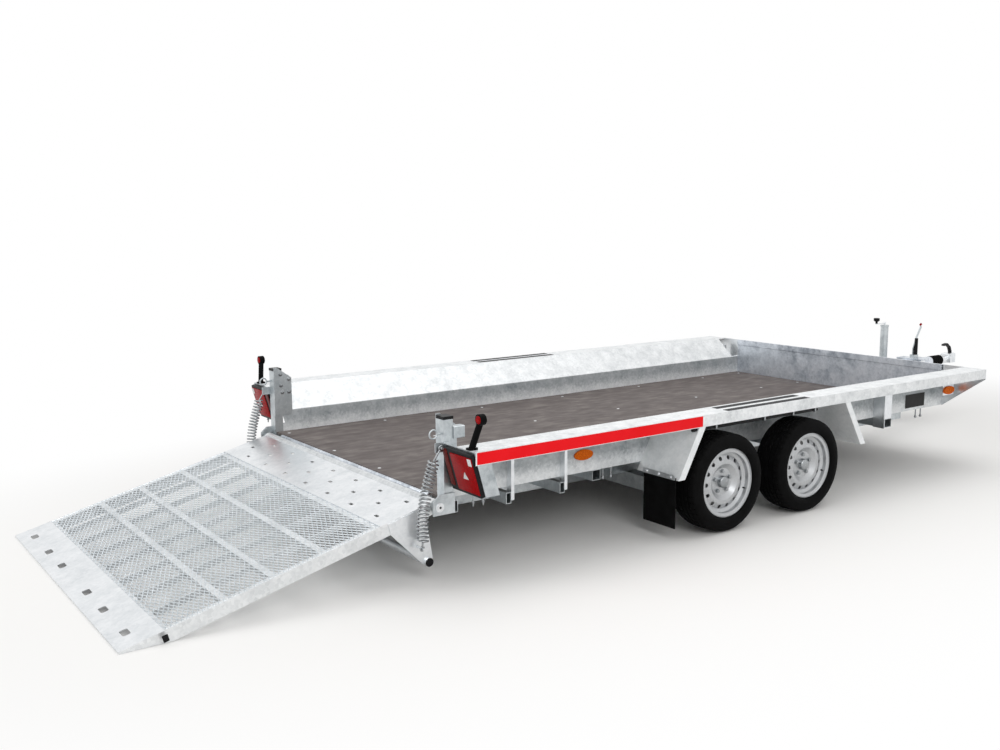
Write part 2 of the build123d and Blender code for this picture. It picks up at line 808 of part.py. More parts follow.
def tyre():
    """Tyre on its bead seats: flat foot, bulged side wall and a slightly crowned tread."""
    high = tyre_r - lip_r
    foot = bead_r + seat
    wall = tyre_w / 2
    # share of half the width, share of the height above the rim's lip
    side_wall = ((0.862, 0.05), (0.964, 0.19), (1.0, 0.39), (0.98, 0.59), (0.913, 0.79), (0.82, 0.92),
                 (0.677, 0.975), (0.31, 0.995))
    side = [(bead_y - seat, foot), (bead_y - seat, lip_r + tyre_over_lip)]
    side += [(across * wall, lip_r + up * high) for across, up in side_wall]
    return turned(side + [(0, tyre_r)] + [(-y, r) for y, r in reversed(side)])


def hub_outline():
    """Brake drum and hub behind the disc, with the bore for the stub axle."""
    bore = stub_r + stub_clearance
    bore_end = stub_end + bore_spare
    return [(drum_in, bore), (drum_in, drum_r), (drum_to, drum_r), (drum_to + drum_step, hub_r),
            (hub_face, hub_r), (hub_face, 0), (bore_end, 0), (bore_end, bore)]


def rim():
    """Wheel with its disc, hub and brake drum, about its own centre plane."""
    lip = [(rim_half, lip_r), (rim_half - lip_w, lip_r - lip_h), (bead_y, bead_r)]
    well = [(drop_y[0] - drop_slope[0], bead_r - drop_edge), (drop_y[0], drop_r), (drop_y[1], drop_r),
            (drop_y[1] + drop_slope[1], bead_r - drop_edge)]
    barrel = folded([(-y, r) for y, r in lip] + well + lip[::-1], rim_sheet)
    crest = hub_face + disc_crest
    disc = folded([(hub_face, 0), (hub_face, disc_flat_r), (crest, disc_crest_r[0]), (crest, disc_crest_r[1]),
                   (disc_weld_y, drop_r - 1)], disc_t)
    foot = hub_face + disc_t
    cap = [(foot, 0), (foot, cap_r)] + [(foot + up, r) for up, r in cap_taper]
    cap.append((foot + cap_taper[-1][0], 0))
    body = turned(barrel, disc, cap, hub_outline())
    hole = Cylinder(vent_r, rim_half, align=(Align.CENTER, Align.CENTER, Align.MIN))
    vent = Pos(vent_at, 0, 0) * Rot(-90, 0, 0) * hole
    return body - [Rot(0, 360 / vent_count * i, 0) * vent for i in range(vent_count)]


def axle(x):
    """Torsion axle: square tube, an arm at each end, brake back plates and stubs."""
    tube_x = x - arm_reach
    low, high = torsion_z - torsion_size / 2, torsion_z + torsion_size / 2
    solid = box_tube_y(tube_x - torsion_size / 2, tube_x + torsion_size / 2, low, high, torsion_wall,
                        torsion_end)
    arm_out = torsion_end + arm_t
    r_tube, r_stub = torsion_size / 2 + arm_root, arm_w / 2
    along = Vector(arm_reach, arm_rise).normalized()
    side = Vector(-along.Y, along.X)
    a, b = Vector(tube_x, torsion_z), Vector(x, tyre_r)
    web = [tuple(p)[:2] for p in (a + side * r_tube, a - side * r_tube, b - side * r_stub, b + side * r_stub)]
    for s in (-1, 1):
        y0, y1 = sorted((s * torsion_end, s * arm_out))
        solid += along_y(web, y0, y1)
        solid += rod((tube_x, y0, torsion_z), (tube_x, y1, torsion_z), r_tube)
        solid += rod((x, y0, tyre_r), (x, y1, tyre_r), r_stub)
        back = wheel_y + drum_in - backplate_gap
        solid += rod((x, s * (arm_out - 1), tyre_r), (x, s * (wheel_y + stub_end), tyre_r), stub_r)
        solid += rod((x, s * (back - backplate_t), tyre_r), (x, s * back, tyre_r), drum_r - backplate_in)
    return solid


# Drawbar, overrun hitch and jockey wheel

drawbar_slope = (drawbar_rear_y - drawbar_front_y) / (drawbar_top_x - drawbar_rear)
hitch_z = rail_top - drawbar_h / 2 + drawbar_rise


def drawbar_outline(inset, over):
    """The cranked beam as its plan crossed with its side view."""
    x0, x1 = drawbar_rear - over, drawbar_front + over
    dy = (drawbar_w / 2 - inset) * (1 + drawbar_slope ** 2) ** 0.5
    y0, y1 = (drawbar_front_y + (drawbar_top_x - x) * drawbar_slope for x in (x0, x1))
    low, high = rail_top - drawbar_h + inset, rail_top - inset
    plan = along_z([(x0, y0 - dy), (x1, y1 - dy), (x1, y1 + dy), (x0, y0 + dy)], low, high + drawbar_rise)
    line = [(x0, 0), (drawbar_bend, 0), (drawbar_top_x, drawbar_rise), (x1, drawbar_rise)]
    side = along_y([(x, low + z) for x, z in line] + [(x, high + z) for x, z in line[::-1]], 0, y0 + 2 * dy)
    return plan & side


def drawbar():
    beam = drawbar_outline(0, 0) - drawbar_outline(drawbar_wall, 5)
    return beam - block(drawbar_rear, housing_front, 0, housing_half, rail_top - drawbar_h,
                        hitch_z + drawbar_h)


def overrun_housing():
    low, high = hitch_z - drawbar_h / 2, hitch_z + drawbar_h / 2
    body = block(housing_rear, housing_front - housing_neck, -housing_half, housing_half, low, high)
    neck = rod((housing_front - housing_neck, 0, hitch_z), (housing_front, 0, hitch_z), drawbar_h / 2)
    over_x, over_y = draw_plate_over
    plate_half = drawbar_front_y + drawbar_w / 2 + over_y
    plate = block(drawbar_top_x - over_x, drawbar_front + over_x, -plate_half, plate_half, high,
                  high + draw_plate_t)
    return body + neck + plate


def bellows():
    x0, x1 = housing_front + seat, bellows_front - seat
    pitch = (x1 - x0) / bellows_folds
    points = [(x0, 0)]
    for i in range(bellows_folds):
        x = x0 + i * pitch
        points += [(x, bellows_r - bellows_depth)] + [(x + share * pitch, bellows_r) for share in fold_crest]
    points += [(x1, bellows_r - bellows_depth), (x1, 0)]
    return Pos(0, 0, hitch_z) * revolve(outline(points), Axis.X)


def coupling_head():
    nose_x = head_front - head_half
    shank = rod((bellows_front, 0, hitch_z), (head_rear + shank_lap, 0, hitch_z), shank_r)
    shell = block(head_rear, nose_x, -head_half, head_half, head_low, head_high)
    shell += Pos(nose_x, 0, head_low) * Cylinder(head_half, head_high - head_low,
                                                align=(Align.CENTER, Align.CENTER, Align.MIN))
    shell = fillet(shell.faces().sort_by(Axis.Z)[-1].edges(), head_round)
    socket = rod((nose_x, 0, head_low - 1), (nose_x, 0, head_low + socket_depth), socket_r)
    return shank + shell - socket


def coupling_handle():
    path = [(head_front + ahead, head_high + up) for ahead, up in handle_path]
    return along_y(folded(path, -handle_t), -handle_w / 2, handle_w / 2)


def handbrake():
    foot = hitch_z + drawbar_h / 2 + draw_plate_t
    long, wide, high = lever_foot
    base = block(lever_x - long / 2, lever_x + long / 2, -wide / 2, wide / 2, foot, foot + high)
    path = [(lever_x + ahead, foot + up) for ahead, up in lever_path]
    return base + along_y(folded(path, lever_t), *lever_y)


def brake_strut():
    x, y = lever_x + strut_at[0], strut_at[1]
    foot = hitch_z + drawbar_h / 2 + draw_plate_t + lever_foot[2] + seat
    return rod((x, y, foot), (x, y, foot + strut_length), strut_r)


def jockey_clamp():
    low, high = hitch_z - clamp_high / 2, hitch_z + clamp_high / 2
    ring = rod((jockey_x, jockey_y, low), (jockey_x, jockey_y, high), jockey_r + clamp_wall)
    long, tall = clamp_arm
    arm = block(jockey_x - long / 2, jockey_x + long / 2, clamp_arm_from, jockey_y - jockey_r + clamp_lap,
                hitch_z - tall / 2, hitch_z + tall / 2)
    bore = rod((jockey_x, jockey_y, low - 5), (jockey_x, jockey_y, high + 5), jockey_r + clamp_clearance)
    return ring + arm - bore - drawbar_outline(0, 0)


def jockey_tube():
    tube = rod((jockey_x, jockey_y, jockey_low), (jockey_x, jockey_y, jockey_top), jockey_r)
    tube -= rod((jockey_x, jockey_y, jockey_low - 1), (jockey_x, jockey_y, jockey_top - jockey_lid_in),
                jockey_r - jockey_wall)
    high, over = jockey_lid
    lid = rod((jockey_x, jockey_y, jockey_top), (jockey_x, jockey_y, jockey_top + high), jockey_r + over)
    return tube + lid


def jockey_crank():
    z = jockey_top + jockey_lid[0]
    shaft = rod((jockey_x, jockey_y, z), (jockey_x, jockey_y, z + crank_shaft[1]), crank_shaft[0])
    width, thick, over = crank_bar
    low, high = z + crank_rise, z + crank_rise + thick
    knob_x = jockey_x - crank_arm
    arm = block(knob_x - over, jockey_x + crank_tail, jockey_y - width / 2, jockey_y + width / 2, low, high)
    grip = rod((knob_x, jockey_y, high), (knob_x, jockey_y, high + knob[1]), knob[0])
    return shaft + arm + grip


def jockey_leg():
    return rod((jockey_x, jockey_y, leg_low), (jockey_x, jockey_y, leg_top), leg_r)


def jockey_fork():
    axle_at = jockey_x - jockey_trail
    top = leg_low - seat
    inner = jockey_wheel_w / 2 + fork_gap
    low = top - fork_crown_t
    rear, side, foot = axle_at - fork_rear, fork_foot[0], jockey_wheel_r - fork_foot[1]
    y0, y1 = jockey_y - inner, jockey_y + inner
    fork = block(rear, jockey_x + leg_r + fork_front, y0 - fork_t, y1 + fork_t, low, top)
    points = [(rear, low), (jockey_x + leg_r, low), (axle_at + side, foot), (axle_at - side, foot)]
    for y in (y0 - fork_t, y1):
        fork += along_y(points, y, y + fork_t)
    pin = rod((axle_at, y0 - 1, jockey_wheel_r), (axle_at, y1 + 1, jockey_wheel_r), jockey_pin_r)
    return fork + pin


def jockey_wheel():
    wide = jockey_wheel_w / 2
    web = wide - web_in
    r = jockey_wheel_r
    edge_down, edge_in, crown = tread_edge
    half_path = [(wide, jockey_pin_r + stub_clearance), (wide, hub_half_r[0]), (web, hub_half_r[1]),
                 (web, r - tread_depth[0]), (wide, r - tread_depth[1]), (wide, r - edge_down),
                 (wide - edge_in, r - crown)]
    points = [(-y, r) for y, r in half_path] + [(0, r)] + half_path[::-1]
    return Pos(jockey_x - jockey_trail, jockey_y, r) * turned(points)


# Files, one for each piece

def save_all():
    os.makedirs("parts", exist_ok=True)
    save("floor_board", floor_board())
    save_pair("side_panel", side_panel())
    save("front_wall", front_wall())
    save("front_plate", front_plate())
    save("cross_members", cross_members())
    save_pair("rail", rail())
    save_pair("outriggers", outriggers() + reflector_bracket())
    save_pair("wheel_guards", wheel_guards())
    save_pair("mud_flap", mud_flap())
    save_pair("post", post())
    save("post_caps", pair(post_cap()))
    save_pair("latch", Compound(children=list(latch())))
    save_pair("lamp_panel", lamp_panel())
    save_pair("tail_lamp", tail_lamp())
    save_pair("marker_lamp", marker_lamp())
    save("side_reflectors", pair(Compound(children=side_reflectors())))
    save_pair("spring", spring())
    for name, x in zip(("rear", "front"), axle_x):
        place = Pos(x, wheel_y, tyre_r)
        save_pair(f"tyre_{name}", place * tyre())
        save_pair(f"rim_{name}", place * rim())
        save(f"axle_{name}", axle(x))
    save("ramp_frame", ramp_frame())
    save("ramp_plate", ramp_plate())
    save("ramp_mesh", ramp_mesh())
    save("ramp_tip", ramp_tip())
    save("ramp_stand", ramp_stand())
    save_pair("drawbar", drawbar())
    save("overrun_housing", overrun_housing())
    save("bellows", bellows())
    save("coupling_head", coupling_head())
    save("coupling_handle", coupling_handle())
    save("handbrake", handbrake())
    save("brake_strut", brake_strut())
    save("jockey_clamp", jockey_clamp())
    save("jockey_tube", jockey_tube())
    save("jockey_crank", jockey_crank())
    save("jockey_leg", jockey_leg())
    save("jockey_fork", jockey_fork())
    save("jockey_wheel", jockey_wheel())


save_all()
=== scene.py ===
"""Looks of the plant trailer: finishes, small fittings, springs, tread and ramp mesh."""
import math
import bpy
from mathutils import Matrix, Vector


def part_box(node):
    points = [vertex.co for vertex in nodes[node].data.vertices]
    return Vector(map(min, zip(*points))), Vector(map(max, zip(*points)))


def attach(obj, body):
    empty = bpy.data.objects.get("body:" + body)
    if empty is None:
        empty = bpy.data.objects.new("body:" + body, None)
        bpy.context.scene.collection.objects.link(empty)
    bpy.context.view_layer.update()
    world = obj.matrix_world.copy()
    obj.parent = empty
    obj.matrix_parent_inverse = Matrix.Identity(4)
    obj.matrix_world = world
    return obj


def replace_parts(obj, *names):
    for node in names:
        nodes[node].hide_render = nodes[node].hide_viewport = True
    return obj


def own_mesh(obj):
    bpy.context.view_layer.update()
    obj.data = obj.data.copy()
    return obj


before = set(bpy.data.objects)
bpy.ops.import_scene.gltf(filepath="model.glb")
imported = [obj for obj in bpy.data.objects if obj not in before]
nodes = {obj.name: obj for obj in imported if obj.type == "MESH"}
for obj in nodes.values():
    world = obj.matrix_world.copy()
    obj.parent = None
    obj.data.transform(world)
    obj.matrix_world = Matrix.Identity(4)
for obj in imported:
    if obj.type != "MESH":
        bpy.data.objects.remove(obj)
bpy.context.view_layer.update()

# Places are in millimetres in the part's own datum: X forward, Y to the left and Z up from the
# ground, with X = 0 lying 1447 mm behind the rear axle

MM = 0.001
FORWARD, LEFT, UP = (1, 0, 0), (0, 1, 0), (0, 0, 1)
BACKWARD, RIGHT = (-1, 0, 0), (0, -1, 0)
REAR_AXLE_X = 1447
FRONT_AXLE_X = 2098
WHEEL_Y = 1140
TYRE_R = 262.5
rear_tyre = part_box("tyre_rear_left")
zero_x = (rear_tyre[0].x + rear_tyre[1].x) / 2 - REAR_AXLE_X * MM


def at(x, y, z):
    """Place in the scene, in metres, of a place in the datum."""
    return Vector((zero_x + x * MM, y * MM, z * MM))


def unit(vector):
    return Vector(vector).normalized()


# Camera, from the photograph's vanishing lines

CAMERA_AT = at(-2636, -4887, 1659)
CAMERA_YAW, CAMERA_PITCH, CAMERA_ROLL = 35.58, -8.70, -0.29
CAMERA_LENS, SENSOR_WIDTH = 38.0, 36

bpy.ops.object.camera_add(location=CAMERA_AT)
camera = bpy.context.object
camera.name = "camera"
yaw = Matrix.Rotation(math.radians(-CAMERA_YAW), 4, "Z")
tilt = Matrix.Rotation(math.radians(90 + CAMERA_PITCH), 4, "X")
roll = Matrix.Rotation(math.radians(CAMERA_ROLL), 4, "Z")
camera.rotation_euler = (yaw @ tilt @ roll).to_euler()
camera.data.sensor_width = SENSOR_WIDTH
camera.data.lens = CAMERA_LENS
bpy.context.scene.camera = camera


# Nodes and colours

def srgb(code):
    """Linear colour of an sRGB hex value."""
    parts = [int(code[i:i + 2], 16) / 255 for i in (1, 3, 5)]
    return [c / 12.92 if c <= 0.04045 else ((c + 0.055) / 1.055) ** 2.4 for c in parts] + [1]


def add(tree, kind, inputs=None, stops=(), **settings):
    """Adds a node with its inputs, a colour ramp's stops and other settings.

    An input, by name or number, is a value, another node's socket, or a node, which stands for its
    first socket. A stop is a position and a colour.
    """
    node = tree.nodes.new("ShaderNode" + kind)
    for name, value in settings.items():
        setattr(node, name, value)
    for name, value in (inputs or {}).items():
        if isinstance(value, bpy.types.Node):
            value = value.outputs[0]
        if isinstance(value, bpy.types.NodeSocket):
            tree.links.new(value, node.inputs[name])
        else:
            node.inputs[name].default_value = value
    if stops:
        points = node.color_ramp.elements
        while len(points) < len(stops):
            points.new(0.5)
        for point, (position, colour) in zip(points, stops):
            point.position = position
            point.color = srgb(colour)
    return node


def begin(name):
    """New material, its empty tree, and the coordinates of the object that wears it."""
    material = bpy.data.materials.new(name)
    material.use_nodes = True
    tree = material.node_tree
    tree.nodes.clear()
    return material, tree, add(tree, "TexCoord").outputs["Object"]


def surfaced(material, inputs):
    """Gives a material its shader, with these inputs."""
    tree = material.node_tree
    shader = add(tree, "BsdfPrincipled", inputs)
    add(tree, "OutputMaterial", {"Surface": shader})
    return material


# Materials; a pattern's scale is one over a real size

def galvanised_steel(name, bright, dull, rough, mottle, metal=1.0, painted_shade_heights=None, painted_shade_reach=None):
    """Hot-dip zinc: pale crystals about 14 mm wide, and cloudy stains where it ran and dried.

    rough is its least and most roughness, mottle how far the stains go, and metal what a powdery
    patina leaves of the metallic look. drained is two heights in mm, between which the sheet is
    greyed with painted shade, the shade under an overhang, and how much. within is how far from the
    middle plane the sheet is greyed with painted shade, the shade under the ramp's mesh, and how
    much.
    """
    material, tree, place = begin(name)
    crystals = add(tree, "TexVoronoi", {"Vector": place, "Scale": 1 / (14 * MM)})
    grey = add(tree, "RGBToBW", {"Color": crystals.outputs["Color"]})
    clouds = add(tree, "TexNoise", {"Vector": place, "Scale": 1 / (90 * MM), "Detail": 6,
                                    "Roughness": 0.65})
    stains = add(tree, "TexNoise", {"Vector": place, "Scale": 1 / (420 * MM), "Detail": 3,
                                    "Distortion": 0.6})
    cloud = add(tree, "MapRange", {"Value": clouds, "From Min": 0.38, "From Max": 0.66})
    both = add(tree, "Math", {0: cloud, 1: stains}, operation="MULTIPLY")
    stained = add(tree, "Math", {0: both, 1: mottle}, operation="MULTIPLY")
    crystal = add(tree, "Math", {0: grey, 1: 0.22}, operation="MULTIPLY")
    dulled = add(tree, "Math", {0: stained, 1: crystal}, operation="ADD")
    # painted shade: a band of heights is greyed, standing for the shade under an overhang
    if painted_shade_heights:
        low, high, much = painted_shade_heights
        height = add(tree, "SeparateXYZ", {"Vector": place}).outputs["Z"]
        fine = add(tree, "TexNoise", {"Vector": place, "Scale": 1 / (16 * MM), "Detail": 5,
                                      "Roughness": 0.7})
        ragged = add(tree, "Math", {0: fine, 1: 90 * MM, 2: height}, operation="MULTIPLY_ADD")
        above = add(tree, "MapRange", {"Value": ragged, "From Min": (low + 15) * MM,
                                       "From Max": (low + 75) * MM, "To Max": much})
        below = add(tree, "MapRange", {"Value": height, "From Min": (high + 8) * MM,
                                       "From Max": high * MM})
        painted_shade_band = add(tree, "Math", {0: above, 1: below}, operation="MULTIPLY")
        dulled = add(tree, "Math", {0: dulled, 1: painted_shade_band}, operation="ADD")
    # painted shade: everything nearer the middle plane than the reach is greyed, standing for the
    # shade under the ramp's mesh
    if painted_shade_reach:
        reach, much = painted_shade_reach
        across = add(tree, "SeparateXYZ", {"Vector": place}).outputs["Y"]
        away = add(tree, "Math", {0: across}, operation="ABSOLUTE")
        painted_shade_inner = add(tree, "MapRange", {"Value": away, "From Min": reach * MM,
                                       "From Max": (reach - 8) * MM, "To Max": much})
        dulled = add(tree, "Math", {0: dulled, 1: painted_shade_inner}, operation="ADD")
    return surfaced(material, {
        "Base Color": add(tree, "ValToRGB", {"Fac": dulled}, ((0.0, bright), (1.0, dull))),
        "Roughness": add(tree, "MapRange", {"Value": dulled, "To Min": rough[0],
                                            "To Max": rough[1]}),
        "Normal": add(tree, "Bump", {"Height": clouds, "Distance": 0.5 * MM, "Strength": 0.25}),
        "Metallic": metal,
    })


def phenolic_ply():
    """Brown film-faced plywood: matt, with a woven grip pattern, scuffs and pale dust.

    The real weave is 2 mm, too fine for the render, so its bands are drawn about 13 mm apart.
    """
    material, tree, place = begin("phenolic_ply")
    weave = add(tree, "TexWave", {"Vector": place, "Scale": 1 / (30 * MM), "Distortion": 0.4},
                bands_direction="DIAGONAL")
    dust = add(tree, "TexNoise", {"Vector": place, "Scale": 1 / (160 * MM), "Detail": 8,
                                  "Roughness": 0.7})
    long_grain = add(tree, "Mapping", {"Vector": place, "Scale": (0.5, 1.4, 1.0)})
    scuffs = add(tree, "TexNoise", {"Vector": long_grain, "Scale": 1 / (60 * MM), "Detail": 5})
    both = add(tree, "Math", {0: dust, 1: scuffs}, operation="MULTIPLY")
    browns = ((0.08, "#524b49"), (0.24, "#665f5d"), (0.42, "#7f7975"))
    return surfaced(material, {
        "Base Color": add(tree, "ValToRGB", {"Fac": both}, browns),
        "Roughness": add(tree, "MapRange", {"Value": dust, "To Min": 0.45, "To Max": 0.75}),
        "Normal": add(tree, "Bump", {"Height": weave.outputs["Fac"], "Distance": 0.3 * MM,
                                     "Strength": 0.3}),
        "Specular IOR Level": 0.12,
    })


def vulcanised_rubber(name, colour, rough):
    """Black rubber: matt, with a faint grey bloom over a 3 mm grain."""
    material, tree, place = begin(name)
    bloom = add(tree, "TexNoise", {"Vector": place, "Scale": 1 / (40 * MM), "Detail": 5})
    grain = add(tree, "TexNoise", {"Vector": place, "Scale": 1 / (3 * MM), "Detail": 2})
    return surfaced(material, {
        "Base Color": add(tree, "ValToRGB", {"Fac": bloom}, ((0.35, colour), (0.85, "#131314"))),
        "Roughness": add(tree, "MapRange", {"Value": bloom, "To Min": rough - 0.08,
                                            "To Max": rough + 0.08}),
        "Normal": add(tree, "Bump", {"Height": grain, "Distance": 0.2 * MM, "Strength": 0.3}),
        "Specular IOR Level": 0.05,
    })


def silver_paint():
    """Sprayed silver wheel enamel: 2 mm metal flake under a soft gloss, dulled by brake soot."""
    material, tree, place = begin("silver_wheel_enamel")
    flake = add(tree, "TexNoise", {"Vector": place, "Scale": 1 / (2 * MM), "Detail": 1})
    soot = add(tree, "TexNoise", {"Vector": place, "Scale": 1 / (50 * MM), "Detail": 4})
    return surfaced(material, {
        "Base Color": add(tree, "ValToRGB", {"Fac": flake}, ((0.3, "#a9abad"), (0.7, "#c6c8ca"))),
        "Roughness": add(tree, "MapRange", {"Value": soot, "To Min": 0.28, "To Max": 0.45}),
        "Metallic": 0.75,
    })


def moulded(name, dark, light, rough):
    """Injection-moulded plastic: slight shade variation over a fine 1.5 mm texture."""
    material, tree, place = begin(name)
    tone = add(tree, "TexNoise", {"Vector": place, "Scale": 1 / (30 * MM), "Detail": 4})
    fine = add(tree, "TexNoise", {"Vector": place, "Scale": 1 / (1.5 * MM), "Detail": 1})
    return surfaced(material, {
        "Base Color": add(tree, "ValToRGB", {"Fac": tone}, ((0.3, dark), (0.7, light))),
        "Roughness": add(tree, "MapRange", {"Value": tone, "To Min": rough - 0.05,
                                            "To Max": rough + 0.05}),
        "Normal": add(tree, "Bump", {"Height": fine, "Distance": 0.1 * MM, "Strength": 0.2}),
        "Specular IOR Level": 0.15,
    })


def lens(name, dark, light):
    """Clear coloured acrylic over small square prisms, 5 mm wide."""
    material, tree, place = begin(name)
    prisms = add(tree, "TexVoronoi", {"Vector": place, "Scale": 1 / (5 * MM)}, distance="CHEBYCHEV")
    return surfaced(material, {
        "Base Color": add(tree, "ValToRGB", {"Fac": prisms}, ((0.1, dark), (0.8, light))),
        "Roughness": 0.25,
        "Normal": add(tree, "Bump", {"Height": prisms, "Distance": 0.6 * MM, "Strength": 0.5}),
        "Specular IOR Level": 0.05,
    })


def vinyl_film(name, colour, worn):
    """Gloss vinyl film, evenly coloured, with a faint 6 mm orange-peel and a wide haze."""
    material, tree, place = begin(name)
    peel = add(tree, "TexNoise", {"Vector": place, "Scale": 1 / (6 * MM), "Detail": 2})
    haze = add(tree, "TexNoise", {"Vector": place, "Scale": 1 / (200 * MM), "Detail": 4})
    return surfaced(material, {
        "Base Color": add(tree, "ValToRGB", {"Fac": haze}, ((0.3, colour), (0.75, worn))),
        "Roughness": add(tree, "MapRange", {"Value": haze, "To Min": 0.25, "To Max": 0.4}),
        "Normal": add(tree, "Bump", {"Height": peel, "Distance": 0.05 * MM, "Strength": 0.3}),
        "Specular IOR Level": 0.12,
    })


def grit_strip(name):
    """Anti-slip tape: black mineral grit on a film, drawn 2 mm coarse so that it shows."""
    material, tree, place = begin(name)
    grit = add(tree, "TexVoronoi", {"Vector": place, "Scale": 1 / (2 * MM)})
    return surfaced(material, {
        "Base Color": add(tree, "ValToRGB", {"Fac": grit}, ((0.1, "#18181a"), (0.7, "#3a3a3c"))),
        "Roughness": 0.9,
        "Normal": add(tree, "Bump", {"Height": grit, "Distance": 0.8 * MM, "Strength": 0.8}),
    })


zinc = galvanised_steel("galvanised_steel", "#d0d5d7", "#878f94", (0.34, 0.55), 0.9)
zinc_mottled = galvanised_steel("galvanised_steel_weathered", "#eaeff6", "#8b939d", (0.28, 0.5),
                                1.25, metal=0.75)
zinc_bright = galvanised_steel("galvanised_steel_new", "#eef0f2", "#bcc2c6", (0.3, 0.45), 0.6)
# painted shade: the panel's wall is greyed between 425 and 500 mm, the shade under the ledge's
# overhang
zinc_panel = galvanised_steel("galvanised_steel_panel", "#f4f6f7", "#8c9397", (0.38, 0.5), 0.5,
                              metal=0.25, painted_shade_heights=(425, 500, 0.55))
# painted shade: the ramp's members within 903 mm of the middle plane are greyed, the shade under
# the mesh
zinc_ramp = galvanised_steel("galvanised_steel_ramp", "#f2f4f5", "#7e858a", (0.35, 0.5), 0.25,
                             metal=0.6, painted_shade_reach=(903, 0.2))
zinc_guard = galvanised_steel("galvanised_steel_guard", "#f3f5f6", "#bcc2c5", (0.4, 0.5), 0.5,
                              metal=0.3)
zinc_mesh = galvanised_steel("galvanised_steel_mesh", "#dde1e4", "#b3babe", (0.35, 0.5), 0.6)
zinc_wire = galvanised_steel("zinc_plated_wire", "#aaadaf", "#5e6367", (0.25, 0.4), 0.6)
ply = phenolic_ply()
tyre_rubber = vulcanised_rubber("tyre_rubber", "#0a0a0a", 0.7)
soft_rubber = vulcanised_rubber("moulded_rubber", "#060606", 0.6)
wheel_paint = silver_paint()
black_plastic = moulded("black_polypropylene", "#0d0d0e", "#18181a", 0.42)
black_enamel = moulded("black_enamel", "#161515", "#201f1e", 0.35)
red_lens = lens("red_acrylic_lens", "#6d0609", "#b80d12")
dark_red_lens = lens("dark_red_acrylic_reflector", "#4a1210", "#7a2823")
clear_lens = lens("clear_acrylic_lens", "#c9cccc", "#e8eaea")
amber_lens = lens("amber_acrylic_lens", "#c04a04", "#f27a14")
red_film = vinyl_film("red_vinyl_film", "#e80612", "#ee1620")
grit_tape = grit_strip("black_grit_tape")

FINISHES = (
    (zinc, "cross_members rail_left rail_right axle_rear axle_front jockey_clamp jockey_tube "
           "jockey_leg jockey_fork lamp_panel_left lamp_panel_right post_left post_right "
           "latch_left latch_right handbrake"),
    (zinc_ramp, "ramp_frame"),
    (zinc_mottled, "front_wall overrun_housing"),
    (zinc_panel, "side_panel_left side_panel_right"),
    (zinc_bright, "drawbar_left drawbar_right front_plate ramp_plate ramp_mesh ramp_tip "
                  "ramp_stand coupling_head jockey_crank outriggers_left outriggers_right"),
    (zinc_guard, "wheel_guards_left wheel_guards_right"),
    (ply, "floor_board"),
    (soft_rubber, "mud_flap_left mud_flap_right marker_lamp_left marker_lamp_right bellows "
                  "jockey_wheel"),
    (tyre_rubber, "tyre_rear_left tyre_rear_right tyre_front_left tyre_front_right"),
    (wheel_paint, "rim_rear_left rim_rear_right rim_front_left rim_front_right"),
    (zinc_wire, "spring_left spring_right"),
    (amber_lens, "side_reflectors"),
    (black_plastic, "post_caps coupling_handle brake_strut tail_lamp_left tail_lamp_right"),
)

for finish, names in FINISHES:
    for name in names.split():
        mesh = nodes[name].data
        mesh.materials.clear()
        mesh.materials.append(finish)


# Modelling helpers

MIRROR = Matrix.Diagonal((1, -1, 1, 1))
SAME = 1e-6                # metres within which two places are on one line


def choose(*pieces):
    """Selects these pieces alone, and makes the first one active."""
    bpy.ops.object.select_all(action="DESELECT")
    for piece in pieces:
        piece.select_set(True)
    bpy.context.view_layer.objects.active = pieces[0]


def pick(piece, kind, test):
    """Opens a piece for editing, with only the faces or edges that pass the test selected."""
    choose(piece)
    mesh = piece.data
    for group in (mesh.vertices, mesh.edges, mesh.polygons):
        group.foreach_set("select", [False] * len(group))
    if kind == "FACE":
        for face in mesh.polygons:
            face.select = bool(test(face.center, face.normal))
    else:
        for edge in mesh.edges:
            ends = [mesh.vertices[i].co for i in edge.vertices]
            edge.select = bool(test(*ends))
    bpy.context.tool_settings.mesh_select_mode = [False, kind == "EDGE", kind == "FACE"]
    bpy.ops.object.mode_set(mode="EDIT")


def leave():
    bpy.ops.object.mode_set(mode="OBJECT")


def top_face(centre, normal):
    return normal.z > 0.9


def edges_above(height):
    """Test for the edges above a height in millimetres."""
    return lambda a, b: min(a.z, b.z) > height * MM


def named(name):
    """The primitive that was just added, under its own name."""
    piece = bpy.context.object
    piece.name = piece.data.name = name
    return piece


def settle(piece):
    """Puts a piece's place into its mesh."""
    choose(piece)
    bpy.ops.object.transform_apply(location=True, rotation=True, scale=True)


def modify(piece, kind, **settings):
    """Adds a modifier and applies it."""
    choose(piece)
    modifier = piece.modifiers.new(kind.lower(), kind)
    for name, value in settings.items():
        setattr(modifier, name, value)
    bpy.ops.object.modifier_apply(modifier=modifier.name)


def outwards(piece):
    """Turns all faces outwards."""
    pick(piece, "FACE", lambda centre, normal: True)
    bpy.ops.mesh.normals_make_consistent(inside=False)
    leave()


def copied(piece, name, place):
    """A copy with its own mesh, moved by a matrix."""
    other = piece.copy()
    other.data = piece.data.copy()
    other.name = other.data.name = name
    bpy.context.scene.collection.objects.link(other)
    other.data.transform(place)
    if place.determinant() < 0:
        other.data.flip_normals()
    return other


def joined(name, pieces):
    """One piece made of several."""
    choose(*pieces)
    bpy.ops.object.join()
    return named(name)


def ready(piece, body, material, angle=35):
    """Gives a finished piece its body, its finish and smooth shading below an angle."""
    piece.data.materials.clear()
    piece.data.materials.append(material)
    choose(piece)
    bpy.ops.object.shade_smooth_by_angle(angle=math.radians(angle), keep_sharp_edges=False)
    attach(piece, body)
    return piece


